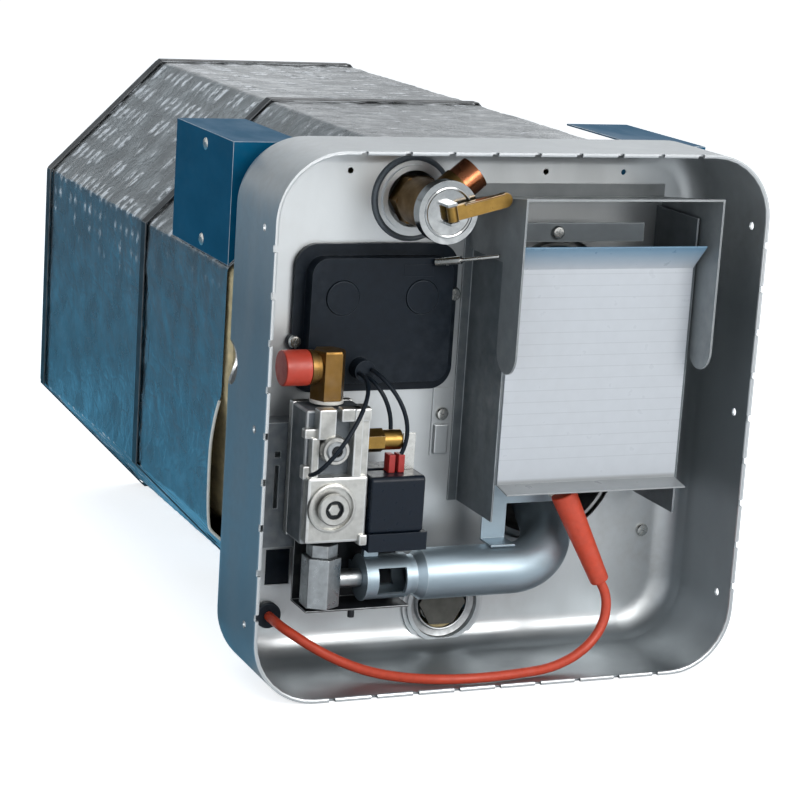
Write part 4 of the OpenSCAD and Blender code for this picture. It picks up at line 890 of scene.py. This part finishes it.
class HEATER_OT_jacket(bpy.types.Operator):
    """Lay the crinkled foil, the fibre under it and the straps"""

    bl_idname = "heater.jacket"
    bl_label = "Insulated jacket"

    grid = 0.0032  # pitch of the foil's points
    overlap = 0.0103  # how far the foil reaches past its solid's front
    top_overlap = 0.0134  # the same, added along the top
    bare_strip = 0.0045  # how far it stays back low at the left
    hole = 0.018  # radius of the coupling holes
    hole_sides = 40
    rear_grid = 0.0098  # pitch of the points in the rear face
    bore = 0.1453  # radius inside the fibre
    bare_top = 0.165  # height up to which the fibre shows at the left

    def outline(self, half_x, low_z, high_z, cut, fold, step):
        """Points of the jacket's eight-sided section with rounded folds, as (x, z)."""
        corners = [
            (-half_x + cut, low_z), (half_x - cut, low_z),
            (half_x, low_z + cut), (half_x, high_z - cut),
            (half_x - cut, high_z), (-half_x + cut, high_z),
            (-half_x, high_z - cut), (-half_x, low_z + cut),
        ]
        corners = [Vector(corner) for corner in corners]
        trim = fold * math.tan(math.radians(22.5))
        points = []
        for index, corner in enumerate(corners):
            before, after = corners[index - 1], corners[(index + 1) % 8]
            to_here = (corner - before).normalized()
            onward = (after - corner).normalized()
            first, last = corner - to_here * trim, corner + onward * trim
            for share in (0.0, 0.25, 0.5, 0.75):
                points.append(first.lerp(corner, share).lerp(corner.lerp(last, share), share))
            end = after - onward * trim
            count = max(1, round((end - last).length / step))
            points += [last.lerp(end, number / count) for number in range(count)]
        return points

    def fleck(self, sizes, along, y, side, z):
        """Strength of the pressed pattern at a point: rows of dashes, weaker towards the front. Each dash
        presses the foil in and is painted as a bright glint.
        """
        high = sizes.pimple * (1.0 if side else 1.6)
        wide = sizes.pimple
        cell = Vector((math.floor(along / high), math.floor(y / wide), 7.0))
        lit = noise.cell(cell * 1.7 + Vector((0.3, 0.3, 0.3)))
        power = 0.5 + 0.5 * lit if lit > -0.45 else 0.0  # the dimmest cells stay empty
        u, v = along / high % 1.0 - 0.5, y / wide % 1.0 - 0.5
        half_long, half_wide = 0.38, 0.30  # of a dash, in shares of its cell
        shape = max(0.0, 1.0 - (u / half_long) ** 2) * max(0.0, 1.0 - (v / half_wide) ** 2)
        # where the painted glints fall: fewer towards the front, and on the sides only high up
        back = clip((y + 0.03) / 0.06)
        upper = 0.55 * clip((z - 0.17) / 0.06) if side else 1.0
        return shape * power * (0.4 + 0.6 * back) * upper

    def dent(self, sizes, spot, fleck):
        """How far the foil is pressed in at a point."""
        cells = spot * 30.0
        apart, near = noise.voronoi(cells)
        facet = noise.cell_vector(near[0] * 91.0).dot(cells - near[0])
        crease = max(0.0, 1.0 - (apart[1] - apart[0]) * 6.0)
        front = clip((0.03 - spot.y) / 0.06, 0.1)
        depth = 0.45 + 0.12 * facet + 0.4 * crease * front - 0.7 * fleck
        depth += 0.35 * noise.noise(spot * 16.0) + 0.2 * noise.noise(spot * 55.0)
        return sizes.crinkle * clip(depth)

    def loose(self, point, half_x, behind):
        """How far the loose edge low at the left is pulled back, and how far it stands off."""
        if point.x >= -half_x + 0.058:
            return 0.0, 0.0
        centre_z, reach_z, reach_y = 0.114, 0.050, 0.022
        slack = max(0.0, 1.0 - ((point.y - centre_z) / reach_z) ** 2)
        near = max(0.0, 1.0 - behind / reach_y)
        wave = 0.95 + 0.2 * noise.noise(Vector((point.y * 22.0, 4.0, 1.0)))
        return 0.012 * slack * near * near * wave, 0.0021 * slack * near ** 3 * min(1.0, wave)

    def foil(self, sizes):
        """The foil skin, crinkled, with its loose front edge low at the left."""
        low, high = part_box("foil_jacket")
        half_x, low_z, high_z = high[0], low[2], high[2]
        front, back = low[1], high[1]
        ring = self.outline(half_x, low_z, high_z, sizes.chamfer, sizes.fold, self.grid)
        centre = Vector((0.0, (low_z + high_z) / 2))
        count = round((back - front) / self.grid)
        rows, marks = [], []
        for step in range(count + 1):
            row, along = [], 0.0
            edge = min(1.0, min(step, count - step) / 2)
            for index, point in enumerate(ring):
                along += (point - ring[index - 1]).length
                left = clip((-0.135 - point.x) / 0.015) * clip((0.25 - point.y) / 0.01)
                top = clip((point.y - high_z + 0.004) / 0.004)
                edge_y = front - self.overlap + self.bare_strip * left - self.top_overlap * top
                y = edge_y + (back - edge_y) * step / count
                ahead = (ring[(index + 1) % len(ring)] - ring[index - 1]).normalized()
                inward = Vector((-ahead.y, ahead.x))
                if inward.dot(centre - point) < 0:
                    inward = -inward
                fleck = self.fleck(sizes, along, y, abs(inward.x) > 0.95, point.y)
                marks.append(fleck * edge)
                pulled, lifted = self.loose(point, half_x, y - edge_y)
                depth = 0.0002 + self.dent(sizes, Vector((point.x, y, point.y)), fleck) * edge - lifted
                spot = point + inward * depth
                row.append((spot.x, y + pulled, spot.y))
            rows.append(row)
        form = Form()
        layer = form.mesh.verts.layers.float.new("fleck")
        rings = form.loops(rows)
        for vert, mark in zip((vert for made in rings for vert in made), marks):
            vert[layer] = mark
        self.hem([vert.co.copy() for vert in rings[0] if vert.co.x < -0.09 and 0.058 < vert.co.z < 0.162])
        return form, rings[-1]

    def hem(self, points):
        """The white cut edge of the loose foil at the left."""
        points.sort(key=lambda point: point.z)
        place("foil_hem", Form().tube(points, 0.0009, 8), "washer_white")

    def clear(self, spot, centres):
        """Distance from a point to the nearest coupling hole."""
        return min((spot - centre).length for centre in centres) - self.hole

    def rear(self, form, sizes, ring):
        """The flat rear of the foil with its two holes for the water couplings."""
        low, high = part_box("foil_jacket")
        middle_z, y = (low[2] + high[2]) / 2, ring[0].co.y
        centres = [Vector((0.0, middle_z + side * sizes.coupling)) for side in (-1, 1)]
        coords = [Vector((vert.co.x, vert.co.z)) for vert in ring]
        edges = [(step, (step + 1) % len(coords)) for step in range(len(coords))]
        for centre in centres:
            start = len(coords)
            coords += [centre + self.hole * Vector(spoke) for spoke in circle(self.hole_sides)]
            edges += [
                (start + step, start + (step + 1) % self.hole_sides) for step in range(self.hole_sides)
            ]
        reach = high[0] + (high[2] - low[2]) / 2 - sizes.chamfer - 0.008
        for across in range(-15, 16):
            for rise in range(-15, 16):
                spot = Vector((across * self.rear_grid, rise * self.rear_grid))
                inside = abs(spot.x) + abs(spot.y) < reach
                spot.y += middle_z
                if inside and self.clear(spot, centres) > 0.004:
                    coords.append(spot)
        made = delaunay_2d_cdt(coords, edges, [], 0, 1e-7)
        verts = []
        for spot in made[0]:
            rim = min((spot - point).length for point in coords[:len(ring)]) < 1e-5
            dent = 0.0 if rim else 0.5 + 0.5 * noise.noise(Vector((spot.x * 45, 3.0, spot.y * 45)))
            verts.append(form.mesh.verts.new((spot.x, y - 0.0007 * dent, spot.y)))
        for face in made[2]:
            inner = sum((made[0][index] for index in face), Vector((0.0, 0.0))) / len(face)
            if self.clear(inner, centres) > -0.0001:
                form.mesh.faces.new([verts[index] for index in face])
        bmesh.ops.remove_doubles(form.mesh, verts=verts + list(ring), dist=2e-5)

    def fibre(self, sizes):
        """The fibre blanket, lumpy outside and round inside."""
        low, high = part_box("insulation")
        skin_low, skin_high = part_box("foil_jacket")
        middle_z = (skin_low[2] + skin_high[2]) / 2
        ring = self.outline(skin_high[0], skin_low[2], skin_high[2], sizes.chamfer, 0.010, 0.005)
        front, back = low[1] + 0.0003, high[1] - 0.012
        stops = (0.0, 0.002, 0.005, 0.008, 0.011, 0.014, 0.018, 0.024, 0.04, 0.10, 0.20, back - front)
        rows = []
        for stop in stops:
            row = []
            for point in ring:
                out = Vector((point.x, point.y - middle_z))
                lump = 0.5 + 0.5 * noise.noise(Vector((point.x * 70, stop * 160, point.y * 70)))
                inset = 0.0018 + 0.0012 * lump + (0.0020 if stop < 0.001 else 0.0)
                if point.x < -0.12 and point.y < self.bare_top:
                    inset += 0.0085 * min(1.0, (self.bare_top - point.y) / 0.03) * min(1.0, stop / 0.006)
                spot = out * (1.0 - inset / out.length)
                row.append((spot.x, front + stop, spot.y + middle_z))
            rows.append(row)
        for y, reach in ((back, 0.0), (front + 0.016, 0.0), (front + 0.016, 0.8), (front, 0.97)):
            row = []
            for point in ring:
                out = Vector((point.x, point.y - middle_z))
                spot = out.normalized() * self.bore
                spot = spot.lerp(out * 0.96, reach) if out.length > 0.16 else spot
                row.append((spot.x, y, spot.y + middle_z))
            rows.append(row)
        form = Form()
        form.loops(rows, closed=True)
        place("fibre_blanket", form, "insulation", replaces=["insulation"])

    def execute(self, context):
        sizes = context.scene.heater_sizes
        form, last = self.foil(sizes)
        self.rear(form, sizes, last)
        skin = place("foil_skin", form, "foil", replaces=["foil_jacket"])
        skin.modifiers.remove(skin.modifiers["Even normals"])
        self.fibre(sizes)
        ease_nodes(rear_strap=0.0002, middle_strap=0.0002)
        return {"FINISHED"}


class HEATER_OT_brackets(bpy.types.Operator):
    """Finish the two mounting brackets and their rivets"""

    bl_idname = "heater.brackets"
    bl_label = "Mounting brackets"

    def execute(self, context):
        ease_nodes(left_bracket=0.0006, right_bracket=0.0006)
        dome = (
            (0.0, -0.0024), (0.0036, -0.0024), (0.0038, 0.0), (0.0033, 0.0006), (0.0017, 0.0012),
            (0.0, 0.0013),
        )
        form = Form()
        for side in (-1, 1):
            for z in (0.249, 0.306):
                form.turned(dome, (side * 0.15455, -0.11415, z), (side, 0, 0), 24)
        place("rivet_domes", form, "bright_steel", replaces=["bracket_rivets"])
        return {"FINISHED"}


class HEATER_OT_relief_valve(bpy.types.Operator):
    """Dress the relief valve: body, bonnet, lever, stem, spring and outlet"""

    bl_idname = "heater.relief_valve"
    bl_label = "Relief valve"

    def execute(self, context):
        ease_nodes(
            relief_body=0.0007, relief_outlet=0.0004, relief_bonnet=0.0006, relief_lever=0.0004,
            relief_stem=0.0003,
        )
        keep_nodes("lever_pin")
        spring("relief_spring_coil", "relief_spring")
        spot = middle("relief_stem")
        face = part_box("relief_bonnet")[0][1] + 0.008
        bead = ((0.0131, 0.0), (0.0133, 0.0005), (0.0141, 0.0008), (0.0149, 0.0005), (0.0151, 0.0))
        ring = Form().turned(bead, (spot.x, face, spot.z), FRONT, closed=True)
        place("bonnet_bead", ring, "bonnet_chrome")
        step = (
            (0.0176, 0.0), (0.0179, 0.0009), (0.0200, 0.0014), (0.0224, 0.0011), (0.0230, 0.0020),
            (0.0242, 0.0025), (0.0254, 0.0018), (0.0260, 0.0),
        )
        collar = Form().turned(step, (spot.x, WALL, spot.z), FRONT, closed=True)
        place("relief_collar_ring", collar, "bracket_grey")
        tilt = Matrix.Translation((spot.x, -0.2237, spot.z)) @ Matrix.Rotation(math.radians(-14), 4, "Y")
        flange = Form().block((0.008, -0.0030, 0.0034), (0.033, 0.0012, 0.0044), 0.0002, tilt)
        place("lever_flange", flange, "dark_brass", "lever")
        return {"FINISHED"}


class HEATER_OT_thermostat_cover(bpy.types.Operator):
    """Dress the rubber thermostat cover, the pads, buttons and clip under it"""

    bl_idname = "heater.thermostat_cover"
    bl_label = "Thermostat cover"

    def execute(self, context):
        ease_nodes(
            thermostat_cover=0.0009, left_press_pad=None, right_press_pad=None, cover_retainer=0.0002,
            wiring_strip=0.0002,
        )
        keep_nodes("left_reset_button", "right_reset_button", "thermostat", "limit_switch")
        tag = Form().block((-0.050, -0.1790, 0.2372), (-0.0312, -0.1785, 0.2445), 0.0002)
        place("cover_tag_pad", tag, "black_rubber")
        rib = Form().block((-0.0187, -0.1682, 0.1252), (-0.0092, -0.1657, 0.1440), 0.0012, segments=4)
        place("strip_rib", rib, SLOTS["wiring_strip"])
        return {"FINISHED"}


class HEATER_OT_gas_valve(bpy.types.Operator):
    """Dress the gas inlet, the valve casting, its coils, terminals and bracket"""

    bl_idname = "heater.gas_valve"
    bl_label = "Gas valve"

    def casting(self):
        """The die-cast body with its ribs, pockets and bosses, over a darker core that is painted shade in
        its pockets.
        """
        # painted shade: the core behind the ribs takes the valve bracket's dark grey, for the shade in the
        # casting's pockets
        core = Form().block((-0.119, WALL - 0.046, 0.086), (-0.082, WALL - 0.017, 0.166), 0.0015)
        place("valve_core", core, "bracket_grey")
        blocks = (  # mm: x, distance from the rear wall and z, each from and to, and the easing
            (-119, -81, 45, 53.8, 88, 128, 2.2), (-114, -103, 45, 53.8, 150, 168, 1.2),
            (-92, -86, 45, 53.8, 127, 168, 1.2), (-86.5, -80.6, 40, 50, 100, 168, 1.0),
            (-100, -81, 45, 53, 160, 168, 1.2), (-121, -114, 44, 50, 126, 134, 1.0),
            (-121, -113, 44, 50, 150, 156, 1.0), (-86, -80.6, 48, 56, 86.2, 93, 1.2),
            (-117, -112, 45, 52, 127, 151, 1.0), (-119.4, -81.6, 18, 24, 85.6, 166.4, 1.0),
        )
        form = Form()
        for x0, x1, f0, f1, z0, z1, ease in blocks:
            low = (x0 / 1000, WALL - f1 / 1000, z0 / 1000)
            high = (x1 / 1000, WALL - f0 / 1000, z1 / 1000)
            form.block(low, high, ease / 1000)
        boss = (
            (0.0, 0.0), (0.0088, 0.0), (0.0085, 0.0096), (0.0078, 0.0106), (0.0054, 0.0106),
            (0.0050, 0.0092), (0.0, 0.0092),
        )
        form.turned(boss, (-0.1035, WALL - 0.046, 0.144), FRONT, 40)
        ring = ((0.0150, 0.0), (0.0146, 0.0022), (0.0139, 0.0026), (0.0129, 0.0026), (0.0129, 0.0))
        form.turned(ring, (-0.1035, WALL - 0.0535, 0.1096), FRONT, 44, True)
        place("valve_casting", form, "die_cast", replaces=["gas_valve_body"])

    def elbow(self):
        """The forged inlet elbow: an upright hexagon with a round branch to the cap."""
        post = ((0.0, 0.1701), (0.0104, 0.1701), (0.0104, 0.1975), (0.0094, 0.1990), (0.0, 0.1990))
        form = Form().turned(post, (-0.1025, -0.1985, 0.0), (0, 0, 1), 6).soften(0.0005)
        branch = (
            (0.0, 0.0062), (0.0088, 0.0062), (0.0096, 0.0072), (0.0096, 0.0094), (0.0104, 0.0098),
            (0.0104, 0.0128), (0.0065, 0.0129), (0.0065, 0.0262), (0.0, 0.0262),
        )
        form.turned(branch, (-0.1025, -0.1985, 0.18867), (-1, 0, 0), 40)
        place("inlet_elbow_forging", form, "dark_brass", replaces=["inlet_elbow"])

    def plugs(self):
        """The tap plug with its socket, and the regulator cap with a hexagon in its dish; each socket gets
        a black floor as painted shade.
        """
        seats = {  # radius, thickness, bore and depth
            "pressure_tap_plug": (0.0060, 0.0015, 0.0033, 0.0027),
            "regulator_cap": (0.0095, 0.0030, 0.0056, 0.0024),
        }
        dark = Form()
        for node, (radius, thick, bore, deep) in seats.items():
            spot, face = middle(node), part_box(node)[0][1]
            seat = (spot.x, face, spot.z)
            rim = (
                (bore, -deep), (bore, -0.0003), (bore + 0.0003, 0.0), (radius - 0.0008, 0.0),
                (radius, -0.0008), (radius, -thick), (bore + 0.0004, -thick), (bore + 0.0004, -deep),
            )
            form = Form().turned(rim, seat, FRONT, 40, True)
            if node == "regulator_cap":
                key = ((0.0, -deep), (0.0036, -deep), (0.0036, -0.0010), (0.0031, -0.0006), (0.0, -0.0006))
                form.turned(key, seat, FRONT, 6)
            place(node + "_turned", form, SLOTS[node], replaces=[node])
            # painted shade: a black cup down each socket, where a deep socket would be dark
            inner, base = bore - 0.0004, 0.0001 - deep
            cup = ((0.0, base), (inner, base), (inner, -0.0012), (bore, -0.0012))
            dark.turned(cup, seat, FRONT, 6 if node == "pressure_tap_plug" else 40)
        place("plug_sockets", dark, "black_steel")

    def execute(self, context):
        self.casting()
        self.elbow()
        self.plugs()
        ease_nodes(
            inlet_cap=0.0008, inlet_washer=0.0002, front_coil=0.0012, rear_coil=0.0012, coil_yoke=0.0003,
            coil_terminals=0.0004, terminal_blade=0.0002, valve_bracket=0.0004, gas_connector=0.0004,
        )
        keep_nodes("front_plunger", "rear_plunger")
        between = middle("plunger_springs").y
        sides = {"front": lambda spot: spot.y < between, "rear": lambda spot: spot.y > between}
        for side, part in sides.items():
            spring(side + "_armature_spring", "plunger_springs", part)
        return {"FINISHED"}


class HEATER_OT_burner(bpy.types.Operator):
    """Dress the outlet fittings, the burner, its shutter, bracket and electrode"""

    bl_idname = "heater.burner"
    bl_label = "Burner"

    def execute(self, context):
        ease_nodes(
            outlet_nut=0.0006, outlet_elbow=0.0006, burner_orifice=0.0004, burner_tube=0.0004,
            air_shutter=0.0003, burner_bracket=0.0004, electrode_bracket=0.0002, electrode=0.0003,
        )
        return {"FINISHED"}


class HEATER_OT_flue(bpy.types.Operator):
    """Dress the flue box, the hood and the label plate, and finish the flue tube, tank and anode"""

    bl_idname = "heater.flue"
    bl_label = "Flue"

    def execute(self, context):
        ease_nodes(flue_box=0.0004, flue_hood=0.0004, label_plate=0.0003)
        keep_nodes("flue_tube", "tank", "anode_rod")
        return {"FINISHED"}


class HEATER_OT_wiring(bpy.types.Operator):
    """Run the three short wires from the thermostats to the valve"""

    bl_idname = "heater.wiring"
    bl_label = "Wiring"

    def execute(self, context):
        runs = (  # mm: start, pull at the start, pull at the end, end
            ((-79, -189, 182.01), (0, -50, 4), (0, -27, 6), (-118, -218.8, 130.01)),
            ((-74, -189, 180.01), (0, -16, 0), (0, 0, 16), (-63, -203.5, 151.51)),
            ((-71, -189, 184.01), (0, -20, 0), (10, -3, 24), (-58, -210.06, 138.01)),
        )
        form = Form()
        for start, pull, drag, end in runs:
            start, end = Vector(start), Vector(end)
            second, third = start + Vector(pull), end + Vector(drag)
            points = []
            for step in range(25):
                t = step / 24
                point = (1 - t) ** 3 * start + 3 * t * (1 - t) ** 2 * second
                point += 3 * t * t * (1 - t) * third + t ** 3 * end
                points.append(point / 1000)
            form.tube(points, context.scene.heater_sizes.wire / 2, 12)
        place("valve_wire_runs", form, "wire_black", replaces=["valve_wires"])
        return {"FINISHED"}


class HEATER_PT_panel(bpy.types.Panel):
    """Lists the steps that dress the heater"""

    bl_label = "Water Heater"
    bl_idname = "HEATER_PT_panel"
    bl_space_type = "VIEW_3D"
    bl_region_type = "UI"
    bl_category = "Water Heater"

    def draw(self, context):
        for step in STEPS:
            self.layout.operator(step.bl_idname)


STEPS = (
    HEATER_OT_studio, HEATER_OT_ignition_lead, HEATER_OT_housing, HEATER_OT_jacket,
    HEATER_OT_brackets, HEATER_OT_relief_valve, HEATER_OT_thermostat_cover, HEATER_OT_gas_valve,
    HEATER_OT_burner, HEATER_OT_flue, HEATER_OT_wiring,
)
CLASSES = (HeaterColours, HeaterSizes) + STEPS + (HEATER_PT_panel,)


def register():
    """Adds the classes and the scene's two groups of values."""
    for item in CLASSES:
        bpy.utils.register_class(item)
    bpy.types.Scene.heater_colours = PointerProperty(type=HeaterColours)
    bpy.types.Scene.heater_sizes = PointerProperty(type=HeaterSizes)


def unregister():
    """Takes away what register added."""
    del bpy.types.Scene.heater_sizes
    del bpy.types.Scene.heater_colours
    for item in reversed(CLASSES):
        bpy.utils.unregister_class(item)


def main():
    """Runs the steps in order."""
    register()
    for step in STEPS:
        group, name = step.bl_idname.split(".")
        getattr(getattr(bpy.ops, group), name)()


if __name__ == "__main__":
    main()
